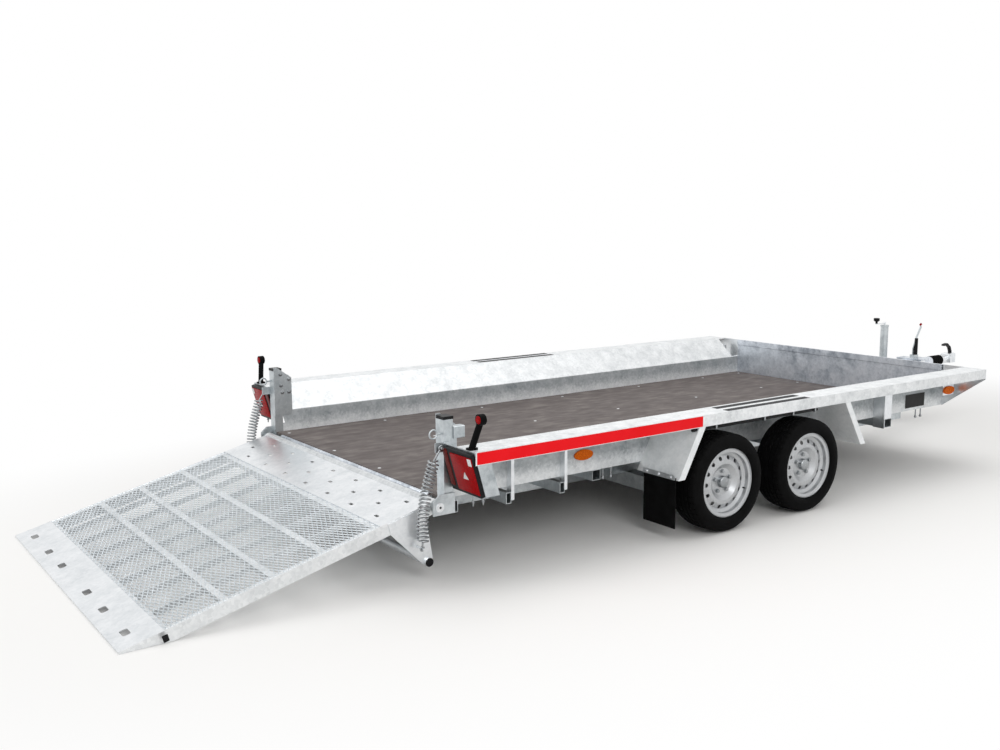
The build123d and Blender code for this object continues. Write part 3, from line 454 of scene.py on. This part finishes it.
def both_sides(piece, name, body, material, angle=35):
    """Finishes a left piece and its mirror image."""
    other = copied(piece, f"{name}_right", MIRROR)
    for side, part in (("left", piece), ("right", other)):
        part.name = part.data.name = f"{name}_{side}"
        ready(part, body, material, angle)


def set_at(place, direction=UP):
    """Matrix that stands a piece modelled on the origin at a place, its +Z along a direction."""
    turn = Vector(direction).to_track_quat("Z", "Y").to_matrix().to_4x4()
    return Matrix.Translation(place) @ turn


# Stage: pale floor that fades to the white background, and soft studio light

FLOOR_SIZE = 60
FLOOR_Z = -0.0005          # just under the tyres
FLOOR_COLOUR = "#f4f3f1"
FLOOR_LONG = 0.5           # the fade is an ellipse, longer along the trailer
FADE_FROM = 1.4
FADE_TO = 3.1
WHITE = (1, 1, 1, 1)
WORLD_FILL = 0.6
LAMPS = (
    # name, place in metres, watts, size in metres
    ("overhead_softbox", (0.5, -0.5, 5.5), 120, 5.0),
    ("side_softbox", (-3.0, -6.5, 4.2), 115, 3.0),
    ("rear_softbox", (-6.5, 1.5, 3.4), 65, 3.0),
)
LAMP_TARGET = (0, 0, 0.4)


def rays(tree, *kinds):
    """1 for a ray of these kinds, and 0 for the others."""
    path = add(tree, "LightPath")
    seen = path.outputs[kinds[0]]
    for kind in kinds[1:]:
        seen = add(tree, "Math", {0: seen, 1: path.outputs[kind]}, operation="MAXIMUM")
    return seen


def stage_floor():
    bpy.ops.mesh.primitive_plane_add(size=FLOOR_SIZE, location=(0, 0, FLOOR_Z))
    floor = named("studio_floor")
    settle(floor)
    material, tree, place = begin("studio_paper")
    oval = add(tree, "Mapping", {"Vector": place, "Scale": (FLOOR_LONG, 1, 1)})
    reach = add(tree, "VectorMath", {0: oval}, operation="LENGTH").outputs["Value"]
    far = add(tree, "MapRange", {"Value": reach, "From Min": FADE_FROM, "From Max": FADE_TO},
              interpolation_type="SMOOTHSTEP")
    paper = add(tree, "BsdfDiffuse", {"Color": srgb(FLOOR_COLOUR)})
    glow = add(tree, "Emission", {"Color": WHITE, "Strength": 1.0})
    seen = rays(tree, "Is Camera Ray", "Is Glossy Ray")
    share = add(tree, "Math", {0: far, 1: seen}, operation="MULTIPLY")
    mixed = add(tree, "MixShader", {0: share, 1: paper, 2: glow})
    add(tree, "OutputMaterial", {"Surface": mixed})
    floor.data.materials.append(material)


def studio_world():
    world = bpy.context.scene.world or bpy.data.worlds.new("studio")
    bpy.context.scene.world = world
    world.use_nodes = True
    tree = world.node_tree
    tree.nodes.clear()
    seen = rays(tree, "Is Camera Ray", "Is Glossy Ray", "Is Transmission Ray")
    strength = add(tree, "MapRange", {"Value": seen, "To Min": WORLD_FILL, "To Max": 1.0})
    sky = add(tree, "Background", {"Color": WHITE, "Strength": strength})
    add(tree, "OutputWorld", {"Surface": sky})


def studio_lamps():
    for name, place, watts, size in LAMPS:
        bpy.ops.object.light_add(type="AREA", location=place)
        lamp = bpy.context.object
        lamp.name = name
        lamp.data.energy = watts
        lamp.data.size = size
        aim = Vector(LAMP_TARGET) - Vector(place)
        lamp.rotation_euler = aim.to_track_quat("-Z", "Y").to_euler()


bpy.context.scene.view_settings.view_transform = "Standard"
stage_floor()
studio_world()
studio_lamps()


# Ramp: fine expanded metal in place of the coarse lattice

RAMP_ANGLE = 14.2
HINGE = at(-170, 0, 347)
RAMP_HALF = 921.7
MESH_FROM, MESH_TO = 285.3, 1284
MESH_TOP = 20.5
DIAMOND_U, DIAMOND_Y = 22.8, 52.3
STRAND = 6.6
MARGIN = 1e-4              # metres inside the outline where the grid's own lines go
lowered = (Matrix.Translation(HINGE) @ Matrix.Rotation(math.radians(-RAMP_ANGLE), 4, "Y")
           @ Matrix.Translation(-HINGE))


def expanded_metal():
    """A grid whose cells are cut across, with the grid's own lines dissolved, leaves diamonds."""
    length = MESH_TO - MESH_FROM
    bpy.ops.mesh.primitive_grid_add(x_subdivisions=round(length / DIAMOND_U),
                                    y_subdivisions=round(2 * RAMP_HALF / DIAMOND_Y), size=1)
    mesh = named("ramp_expanded_metal")
    mesh.scale = (length * MM, 2 * RAMP_HALF * MM, 1)
    middle = (MESH_FROM + MESH_TO) / 2 * MM
    mesh.location = HINGE + Vector((-middle, 0, (MESH_TOP - STRAND / 2) * MM))
    settle(mesh)
    pick(mesh, "FACE", lambda centre, normal: True)
    bpy.ops.mesh.poke()
    leave()
    low, high = mesh.bound_box[0], mesh.bound_box[6]

    def grid_line(a, b):
        middle = (a + b) / 2
        inside = all(low[i] + MARGIN < middle[i] < high[i] - MARGIN for i in (0, 1))
        return inside and any(abs(a[i] - b[i]) < SAME for i in (0, 1))

    pick(mesh, "EDGE", grid_line)
    bpy.ops.mesh.dissolve_edges(use_verts=False)
    leave()
    modify(mesh, "WIREFRAME", thickness=STRAND * MM, use_even_offset=False, use_boundary=True)
    mesh.data.transform(lowered)
    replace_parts(ready(mesh, "ramp", zinc_mesh, angle=20), "ramp_mesh")


expanded_metal()


# Springs: wire coils that flatten towards the post as the ramp is raised

SPRING_Y = 976
SPRING_TOP, SPRING_FOOT = (-166, 623), (-271.0, 175.6)
COIL_PATH = ((-205, 566), (-257, 376), (-268, 205))
COIL_R, WIRE_R, COIL_TURNS, TURN_STEPS = 24.0, 4.1, 21, 18
HOOK_R = 9


def wire(a, b, radius, name, sides=10):
    """Straight wire between two places in metres, with rounded ends."""
    a, b = Vector(a), Vector(b)
    bpy.ops.mesh.primitive_cylinder_add(vertices=sides, radius=radius * MM, depth=(b - a).length)
    piece = named(name)
    piece.data.transform(set_at((a + b) / 2, b - a))
    pick(piece, "EDGE", lambda p, q: abs((p - q).dot(unit(b - a))) < 1e-5)
    bpy.ops.mesh.bevel(offset=radius * MM * 0.45, segments=2, affect="EDGES")
    leave()
    return piece


def hook_eye(centre):
    bpy.ops.mesh.primitive_torus_add(major_radius=HOOK_R * MM, minor_radius=WIRE_R * MM,
                                     major_segments=28, minor_segments=10)
    piece = named("hook_eye")
    piece.data.transform(set_at(centre, LEFT))
    return piece


def coil_spring():
    places = [at(x, SPRING_Y, z) for x, z in COIL_PATH]
    run = sum((b - a).length for a, b in zip(places, places[1:]))
    bpy.ops.mesh.primitive_circle_add(vertices=8, radius=WIRE_R * MM, location=(COIL_R * MM, 0, 0),
                                      rotation=(math.pi / 2, 0, 0))
    coil = named("coil")
    settle(coil)
    modify(coil, "SCREW", axis="Z", angle=2 * math.pi, iterations=COIL_TURNS, steps=TURN_STEPS,
           render_steps=TURN_STEPS, screw_offset=run / COIL_TURNS)
    pick(coil, "FACE", lambda centre, normal: False)
    bpy.ops.mesh.select_mode(type="EDGE")
    bpy.ops.mesh.select_non_manifold()
    bpy.ops.mesh.edge_face_add()
    leave()
    line = bpy.data.curves.new("spring_line", "CURVE")
    line.dimensions = "3D"
    spline = line.splines.new("BEZIER")
    spline.bezier_points.add(len(places) - 1)
    for point, place in zip(spline.bezier_points, places):
        point.co = place
        point.handle_left_type = point.handle_right_type = "AUTO"
    guide = bpy.data.objects.new("spring_line", line)
    bpy.context.scene.collection.objects.link(guide)
    modify(coil, "CURVE", object=guide, deform_axis="POS_Z")
    bpy.data.objects.remove(guide)
    outwards(coil)
    return coil


def springs():
    top, foot, upper, lower = (at(x, SPRING_Y, z) for x, z in
                               (SPRING_TOP, SPRING_FOOT, COIL_PATH[0], COIL_PATH[-1]))
    parts = [coil_spring()]
    for stud, end in ((top, upper), (foot, lower)):
        parts.append(hook_eye(stud))
        parts.append(wire(stud + unit(end - stud) * HOOK_R * MM, end, WIRE_R, "hook_shank"))
        parts.append(wire(end, end + Vector((COIL_R * MM, 0, 0)), WIRE_R, "hook_arm"))
    left = joined("spring_coil_left", parts)
    right = copied(left, "spring_coil_right", MIRROR)
    for piece, side in ((left, "left"), (right, "right")):
        ready(piece, "chassis", zinc_wire, angle=60)
        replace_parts(piece, f"spring_{side}")
        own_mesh(piece)


springs()


# Tyres: ribbed tread with cross grooves, on the outline of the plain tyre

TYRE_RINGS = (
    # width from the centre plane, radius; from the tread round to the bore
    (10, 262.5), (17, 262.4), (40, 262.0), (47, 261.6), (64, 260.6), (80, 256), (86.5, 250),
    (89.5, 245), (92.5, 238), (95.5, 230), (97.2, 221), (97.4, 212), (96.4, 205), (94, 198),
    (90, 192), (84, 187.4), (77, 185.0), (70.3, 184.6), (69.8, 166.5), (35, 166.4), (0, 166.4),
)
TYRE_STEPS = 144
TREAD_FROM_R = 250
GROOVES = ((10, 17), (40, 47))
GROOVE_DEPTH = 6
SIPE_RIBS = ((17, 40), (47, 64), (64, 80))
SIPE_EVERY = 3             # steps round the tyre from one cross groove to the next
SIPE_INSET = 3.2
SIPE_DEPTH = 4
WHEELS = (("rear", REAR_AXLE_X), ("front", FRONT_AXLE_X))
SIDES = (("left", WHEEL_Y), ("right", -WHEEL_Y))


def sink(depth):
    """Extrudes the selected faces inwards by a depth in millimetres."""
    bpy.ops.mesh.extrude_region_shrink_fatten(TRANSFORM_OT_shrink_fatten={"value": -depth * MM})


def treaded_tyre():
    width, radius = TYRE_RINGS[0]
    bpy.ops.mesh.primitive_cylinder_add(vertices=TYRE_STEPS, radius=TYRE_R * MM, depth=width * MM,
                                        end_fill_type="NOTHING", rotation=(math.pi / 2, 0, 0),
                                        location=(0, width / 2 * MM, 0))
    tyre = named("tyre_with_tread")
    settle(tyre)
    edge_y = (width - 0.1) * MM
    pick(tyre, "EDGE", lambda a, b: min(a.y, b.y) > edge_y)
    for next_width, next_radius in TYRE_RINGS[1:]:
        step = (0, (next_width - width) * MM, 0)
        bpy.ops.mesh.extrude_edges_move(TRANSFORM_OT_translate={"value": step})
        size = next_radius / radius
        bpy.ops.transform.resize(value=(size, 1, size), center_override=(0, 0, 0))
        width, radius = next_width, next_radius
    leave()
    outwards(tyre)

    def in_columns(centre, columns):
        outer = math.hypot(centre.x, centre.z) > TREAD_FROM_R * MM
        return outer and any(low * MM < centre.y < high * MM for low, high in columns)

    def in_sipe(centre, normal):
        turn = math.atan2(centre.z, centre.x) / (2 * math.pi) + 0.5
        return in_columns(centre, SIPE_RIBS) and math.floor(turn * TYRE_STEPS) % SIPE_EVERY == 0

    pick(tyre, "FACE", lambda centre, normal: in_columns(centre, GROOVES))
    sink(GROOVE_DEPTH)
    leave()
    pick(tyre, "FACE", in_sipe)
    bpy.ops.mesh.inset(thickness=SIPE_INSET * MM, use_individual=True)
    sink(SIPE_DEPTH)
    leave()
    modify(tyre, "MIRROR", use_axis=(False, True, False), use_clip=False, merge_threshold=0.01 * MM)
    outwards(tyre)
    return tyre


def tyres():
    master = treaded_tyre()
    for end, x in WHEELS:
        for side, y in SIDES:
            name = f"tyre_{end}_{side}"
            tyre = copied(master, f"{name}_tread", Matrix.Translation(at(x, y, TYRE_R)))
            ready(tyre, f"wheel_{end}_{side}", tyre_rubber, angle=40)
            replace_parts(tyre, name)
    bpy.data.objects.remove(master)


tyres()


# Small fittings, modelled on the left side in the part's datum and mirrored to the right

DATUM = Matrix.Translation(at(0, 0, 0))


def slab(name, low, high, axis, rounding):
    """Flat piece between two corners in millimetres, with the edges along one axis rounded."""
    bpy.ops.mesh.primitive_cube_add(size=1, location=[(a + b) / 2 * MM for a, b in zip(low, high)])
    piece = named(name)
    piece.scale = [abs(b - a) * MM for a, b in zip(low, high)]
    settle(piece)
    across = [i for i in range(3) if i != axis]
    pick(piece, "EDGE", lambda a, b: all(abs(a[i] - b[i]) < SAME for i in across))
    bpy.ops.mesh.bevel(offset=rounding * MM, segments=3, affect="EDGES")
    leave()
    return piece


def disc(name, radius, high, sides=24, crown=1.0):
    """Round piece on the origin, standing along +Z, with a rounded upper edge."""
    bpy.ops.mesh.primitive_cylinder_add(vertices=sides, radius=radius * MM, depth=high * MM,
                                        location=(0, 0, high / 2 * MM))
    piece = named(name)
    settle(piece)
    pick(piece, "EDGE", edges_above(high - 0.01))
    bpy.ops.mesh.bevel(offset=crown * MM, segments=3, affect="EDGES")
    leave()
    return piece


def stood(piece, place, direction=UP):
    """Stands a piece modelled on the origin at a place in the datum, its +Z along a direction."""
    piece.data.transform(set_at(at(*place), direction))
    return piece


def in_datum(piece):
    """Moves a piece modelled in the datum to where the datum lies in the scene."""
    piece.data.transform(DATUM)
    return piece


def bolt(across=13, high=7, washer=12):
    """Hexagon head on a 2 mm washer, its seat at the origin."""
    head = disc("bolt_head", across / math.sqrt(3), high, sides=6, crown=1.2)
    head.data.transform(Matrix.Translation((0, 0, 2 * MM)))
    return joined("bolt", [head, disc("washer", washer, 2, crown=0.5)])


def spread(name, master, places, direction=UP):
    """Copies of one fitting at places in the datum, joined into one piece; the master goes."""
    parts = [copied(master, name, set_at(at(*place), direction)) for place in places]
    bpy.data.objects.remove(master)
    return joined(name, parts)


# Red film on the fascias and anti-slip tapes on the ledges: low and high corners

STRIPE = ((-127, 1207.1, 583), (1263, 1207.6, 637))
TAPES = (((1460, 1079, 640.05), (2118, 1121, 641.2)), ((1460, 1156, 640.05), (2118, 1198, 641.2)))


def films():
    both_sides(in_datum(slab("stripe", *STRIPE, 1, 2)), "fascia_stripe", "chassis", red_film)
    tapes = joined("ledge_grip", [slab("tape", low, high, 2, 3) for low, high in TAPES])
    both_sides(in_datum(tapes), "ledge_grip", "chassis", grit_tape)


# Rear lamps: u runs up the slanted lamp panel from its foot, y to the left, w out from the panel

LAMP_LOW, LAMP_TOP = (-80, 430), (-139, 634)
HOUSING_W = 20
LENSES = (
    # name, u and y of two corners, height over the housing, finish, slot
    ("tail_lens", (17, 1032), (196, 1199), 4.3, red_lens, "red_lens"),
    ("edge_reflector", (26, 971.5), (208, 1008), 2.7, dark_red_lens, None),
    ("reverse_lens", (158, 1168), (193, 1197), 5.5, clear_lens, None),
)
TRIANGLE_AT = (96, 1122, 25)
TRIANGLE_R, TRIANGLE_HIGH, TRIANGLE_RIM, TRIANGLE_SUNK = 22, 3, 5, 1.5


def on_lamp():
    """Matrix from a lamp's u, y and w to the scene."""
    up = unit((LAMP_TOP[0] - LAMP_LOW[0], 0, LAMP_TOP[1] - LAMP_LOW[1]))
    out = up.cross(Vector(LEFT))
    turn = Matrix((up, LEFT, out)).transposed().to_4x4()
    return Matrix.Translation(at(LAMP_LOW[0], 0, LAMP_LOW[1])) @ turn


def tail_lamps():
    for name, low, high, proud, finish, slot in LENSES:
        cover = slab(name, (*low, HOUSING_W), (*high, HOUSING_W + proud), 2, 4)
        pick(cover, "EDGE", edges_above(HOUSING_W + proud - 0.1))
        bpy.ops.mesh.bevel(offset=1.2 * MM, segments=2, affect="EDGES")
        leave()
        cover.data.transform(on_lamp())
        both_sides(cover, name, "chassis", finish)
    bpy.ops.mesh.primitive_cylinder_add(
        vertices=3, radius=TRIANGLE_R * MM, depth=TRIANGLE_HIGH * MM,
        location=Vector(TRIANGLE_AT) * MM, rotation=(0, 0, -math.pi / 2))
    triangle = named("triangle_reflector")
    settle(triangle)
    pick(triangle, "FACE", top_face)
    bpy.ops.mesh.inset(thickness=TRIANGLE_RIM * MM)
    bpy.ops.mesh.extrude_region_move(TRANSFORM_OT_translate={"value": (0, 0, -TRIANGLE_SUNK * MM)})
    leave()
    triangle.data.transform(on_lamp())
    both_sides(triangle, "triangle_reflector", "chassis", clear_lens)


# Outline lamps on rubber arms: a round head, with a red lens to the rear and a clear one in front

MARKER_FOOT = ((-138, 1133, 640.1), (-92, 1167, 649))
MARKER_ARM = ((-116, 1150, 645), (-95, 1184, 758))
MARKER_ARM_R, TAPER = 15, 0.8
MARKER_HEAD_Y, MARKER_HEAD_Z = 1189, 777
MARKER_HEAD_X, MARKER_HEAD_R, MARKER_HEAD_LONG = -107, 25, 30
MARKER_LENSES = (
    # name, x of its seat, direction, finish, slot
    ("marker_red_lens", -106, BACKWARD, red_lens, "red_lens"),
    ("marker_clear_lens", -78, FORWARD, clear_lens, None),
)


def marker_lamps():
    foot = in_datum(slab("foot", *MARKER_FOOT, 2, 5))
    low, top = (at(*place) for place in MARKER_ARM)
    arm = disc("arm", MARKER_ARM_R, (top - low).length / MM, crown=2)
    pick(arm, "FACE", top_face)
    bpy.ops.transform.resize(value=(TAPER, TAPER, 1), center_override=(0, 0, 0))
    leave()
    arm.data.transform(set_at(low, top - low))
    head = stood(disc("head", MARKER_HEAD_R, MARKER_HEAD_LONG, sides=40, crown=3),
                 (MARKER_HEAD_X, MARKER_HEAD_Y, MARKER_HEAD_Z), FORWARD)
    lamp = joined("marker_lamp_arm", [foot, arm, head])
    other = copied(lamp, "marker_lamp_arm_other", MIRROR)
    for piece, side in ((lamp, "left"), (other, "right")):
        piece.name = piece.data.name = f"marker_lamp_arm_{side}"
        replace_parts(ready(piece, "chassis", soft_rubber), f"marker_lamp_{side}")
    for name, x, away, finish, slot in MARKER_LENSES:
        cover = stood(disc(name, 18.5, 5, sides=32, crown=3.5),
                      (x, MARKER_HEAD_Y, MARKER_HEAD_Z), away)
        both_sides(cover, name, "chassis", finish, angle=50)


# Conduit over the wheels, bolts on the posts, hinge pins and lamp studs

CONDUIT = ((1200, 1191, 567), (2190, 1191, 567))
CONDUIT_R = 8.5
CLIP_STARTS, CLIP_LONG = (1364, 1736, 1970, 2157), 10
CLIP_Y, CLIP_Z = (1181, 1203.3), (556.5, 582)
POST_BOLT_Y = 894
POST_BOLTS = ((-100, 724), (-47, 691), (-98, 657), (-90, 616), (-48, 616))
PIN_WASHER, PIN_SOCKET = (-170, 968.4, 347), (-170, 973.5, 347)
STUD_X, STUD_TOP = -70, 432
LAMP_STUDS = (
    # y, lowest point, seat of the nut
    (1089, 363, 380),
    (1169, 388, 404),
)


def conduit():
    pipe = wire(*(at(*place) for place in CONDUIT), CONDUIT_R, "conduit")
    both_sides(pipe, "lamp_conduit", "chassis", black_plastic)
    clips = joined("conduit_clips", [slab("clip", (x, CLIP_Y[0], CLIP_Z[0]),
                                          (x + CLIP_LONG, CLIP_Y[1], CLIP_Z[1]), 0, 3)
                                     for x in CLIP_STARTS])
    both_sides(in_datum(clips), "conduit_clips", "chassis", zinc_wire)


def post_fittings():
    heads = spread("post_bolts", bolt(), [(x, POST_BOLT_Y, z) for x, z in POST_BOLTS], RIGHT)
    both_sides(heads, "post_bolts", "chassis", zinc_wire)
    washer = stood(disc("pin_washer", 22, 3, sides=32, crown=0.8), PIN_WASHER, LEFT)
    both_sides(washer, "hinge_pin_washer", "ramp", zinc_bright)
    socket = stood(disc("pin_socket", 6, 1.2, sides=20, crown=0.4), PIN_SOCKET, LEFT)
    both_sides(socket, "hinge_pin_socket", "ramp", black_plastic)
    studs = [wire(at(STUD_X, y, STUD_TOP), at(STUD_X, y, low), 3.5, "stud")
             for y, low, nut in LAMP_STUDS]
    nuts = spread("stud_nuts", bolt(11, 8, 9), [(STUD_X, y, nut) for y, low, nut in LAMP_STUDS])
    both_sides(joined("lamp_panel_studs", studs + [nuts]), "lamp_panel_studs", "chassis", zinc_wire)


# Studs under the side rails, the clamp over the mud flap, the blank plate and the floor's screws

RAIL_STUD_X, RAIL_STUD_Y = (870, 925, 3612, 3668), 890
RAIL_STUD_TOP, RAIL_STUD_LOW, RAIL_NUT_Z = 367, 303, 309
CLAMP = ((1088.6, 957, 324), (1092.4, 1188, 350))
CLAMP_BOLT_Y, CLAMP_BOLT_Z = (985, 1072, 1160), 337
BLANK_PLATE = ((3471, -904.6, 383), (3683, -903.2, 472))
SCREW_X, SCREW_Y = (-86, 562, 1300, 1990, 2720, 3400, 3810), (-825, -262, 240, 825)
FLOOR_TOP = 379.7


def frame_fittings():
    studs = [wire(at(x, RAIL_STUD_Y, RAIL_STUD_TOP), at(x, RAIL_STUD_Y, RAIL_STUD_LOW), 4, "stud")
             for x in RAIL_STUD_X]
    nuts = spread("stud_nuts", bolt(13, 10, 10),
                  [(x, RAIL_STUD_Y, RAIL_NUT_Z) for x in RAIL_STUD_X])
    both_sides(joined("frame_studs", studs + [nuts]), "frame_studs", "chassis", zinc_wire)
    clamp = in_datum(slab("flap_clamp", *CLAMP, 0, 2))
    heads = spread("clamp_bolts", bolt(10, 5, 8),
                   [(CLAMP[0][0], y, CLAMP_BOLT_Z) for y in CLAMP_BOLT_Y], BACKWARD)
    both_sides(joined("flap_clamp", [clamp, heads]), "flap_clamp", "chassis", zinc_bright)
    ready(in_datum(slab("bare_plate", *BLANK_PLATE, 1, 3)), "chassis", black_enamel)
    screws = spread("floor_screws", disc("screw", 9, 1.4, crown=0.8),
                    [(x, y, FLOOR_TOP) for x in SCREW_X for y in SCREW_Y])
    ready(screws, "chassis", zinc_bright, angle=50)


# Hubs: five bolts and a pressed cap on each, and the valve

HUB_BOLTS, BOLT_CIRCLE_R = 5, 56
HUB_FACE_Y = 35            # out from the wheel's centre plane
VALVE = ((152, 33, -54), (146, 64, -52))


def hub_fittings():
    studs = [bolt(17, 11, 13) for i in range(HUB_BOLTS)]
    for i, stud in enumerate(studs):
        turn = 2 * math.pi * (i + 0.25) / HUB_BOLTS
        out = BOLT_CIRCLE_R * MM
        stud.data.transform(Matrix.Translation((out * math.cos(turn), out * math.sin(turn), 0)))
    cap = disc("hub_cap", 32, 25, sides=40, crown=9)
    hub = joined("hub_fittings", studs + [cap])
    hub.data.transform(set_at((0, HUB_FACE_Y * MM, 0), LEFT))
    valve = wire(*(Vector(end) * MM for end in VALVE), 4, "valve")
    for end, x in WHEELS:
        for side, y in SIDES:
            place = Matrix.Translation(at(x, y, TYRE_R))
            if side == "right":
                place = place @ MIRROR
            name, body = f"{end}_{side}", f"wheel_{end}_{side}"
            ready(copied(hub, f"hub_fittings_{name}", place), body, zinc_wire)
            ready(copied(valve, f"valve_{name}", place), body, soft_rubber)
    bpy.data.objects.remove(hub)
    bpy.data.objects.remove(valve)


# Ramp: plugs in its open tube ends, placed from the hinge with the ramp level, and the bed's tube
# between the hinges

STAND_PLUG = (-106, 945, -235)
FRAME_PLUG = ((-1306, 946.6, -15), (-1282, 948.4, 15))
HINGE_TUBE_X, HINGE_TUBE_Y, HINGE_TUBE_Z, HINGE_TUBE_R = -137.5, 815, 368, 10.3


def ramp_fittings():
    plug = disc("stand_plug", 20.5, 3, sides=28, crown=1.2)
    plug.data.transform(lowered @ set_at(HINGE + Vector(STAND_PLUG) * MM, LEFT))
    both_sides(plug, "stand_plug", "ramp", black_plastic)
    end = slab("frame_plug", *FRAME_PLUG, 1, 3)
    end.data.transform(lowered @ Matrix.Translation(HINGE))
    both_sides(end, "frame_plug", "ramp", black_plastic)
    tube = wire(at(HINGE_TUBE_X, -HINGE_TUBE_Y, HINGE_TUBE_Z),
                at(HINGE_TUBE_X, HINGE_TUBE_Y, HINGE_TUBE_Z), HINGE_TUBE_R, "hinge_tube", 20)
    ready(tube, "chassis", zinc_mottled, angle=60)


# Jockey wheel crank, a flat arm with a mushroom knob, and the handbrake's button

CRANK_ARM = ((4680, 177, 769), (4812, 193, 775))
CRANK_SHAFT, CRANK_KNOB = (4800, 185, 757), (4690, 185, 775)
KNOB_STEPS = ((9, 2.6), (18, 1.02), (3, 0.85))         # height and widening of each
BUTTON_AT, BUTTON_ALONG = (5020, 10, 757), (0.8, 0, 0.6)


def crank():
    arm = in_datum(slab("crank_arm", *CRANK_ARM, 2, 7))
    shaft = stood(disc("crank_shaft", 8, 24, sides=20, crown=1.5), CRANK_SHAFT)
    arm = joined("jockey_crank_arm", [arm, shaft])
    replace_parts(ready(arm, "chassis", zinc_bright), "jockey_crank")
    knob = disc("jockey_knob", 9, 14, sides=28, crown=0.5)
    pick(knob, "FACE", top_face)
    for up, size in KNOB_STEPS:
        bpy.ops.mesh.extrude_region_move(TRANSFORM_OT_translate={"value": (0, 0, up * MM)})
        bpy.ops.transform.resize(value=(size, size, 1), center_override=(0, 0, 0))
    leave()
    ready(stood(knob, CRANK_KNOB), "chassis", black_plastic, angle=50)
    button = stood(disc("handbrake_button", 9, 16, sides=20, crown=4), BUTTON_AT, BUTTON_ALONG)
    ready(button, "chassis", red_lens, angle=50)


films()
tail_lamps()
marker_lamps()
conduit()
post_fittings()
frame_fittings()
hub_fittings()
ramp_fittings()
crank()
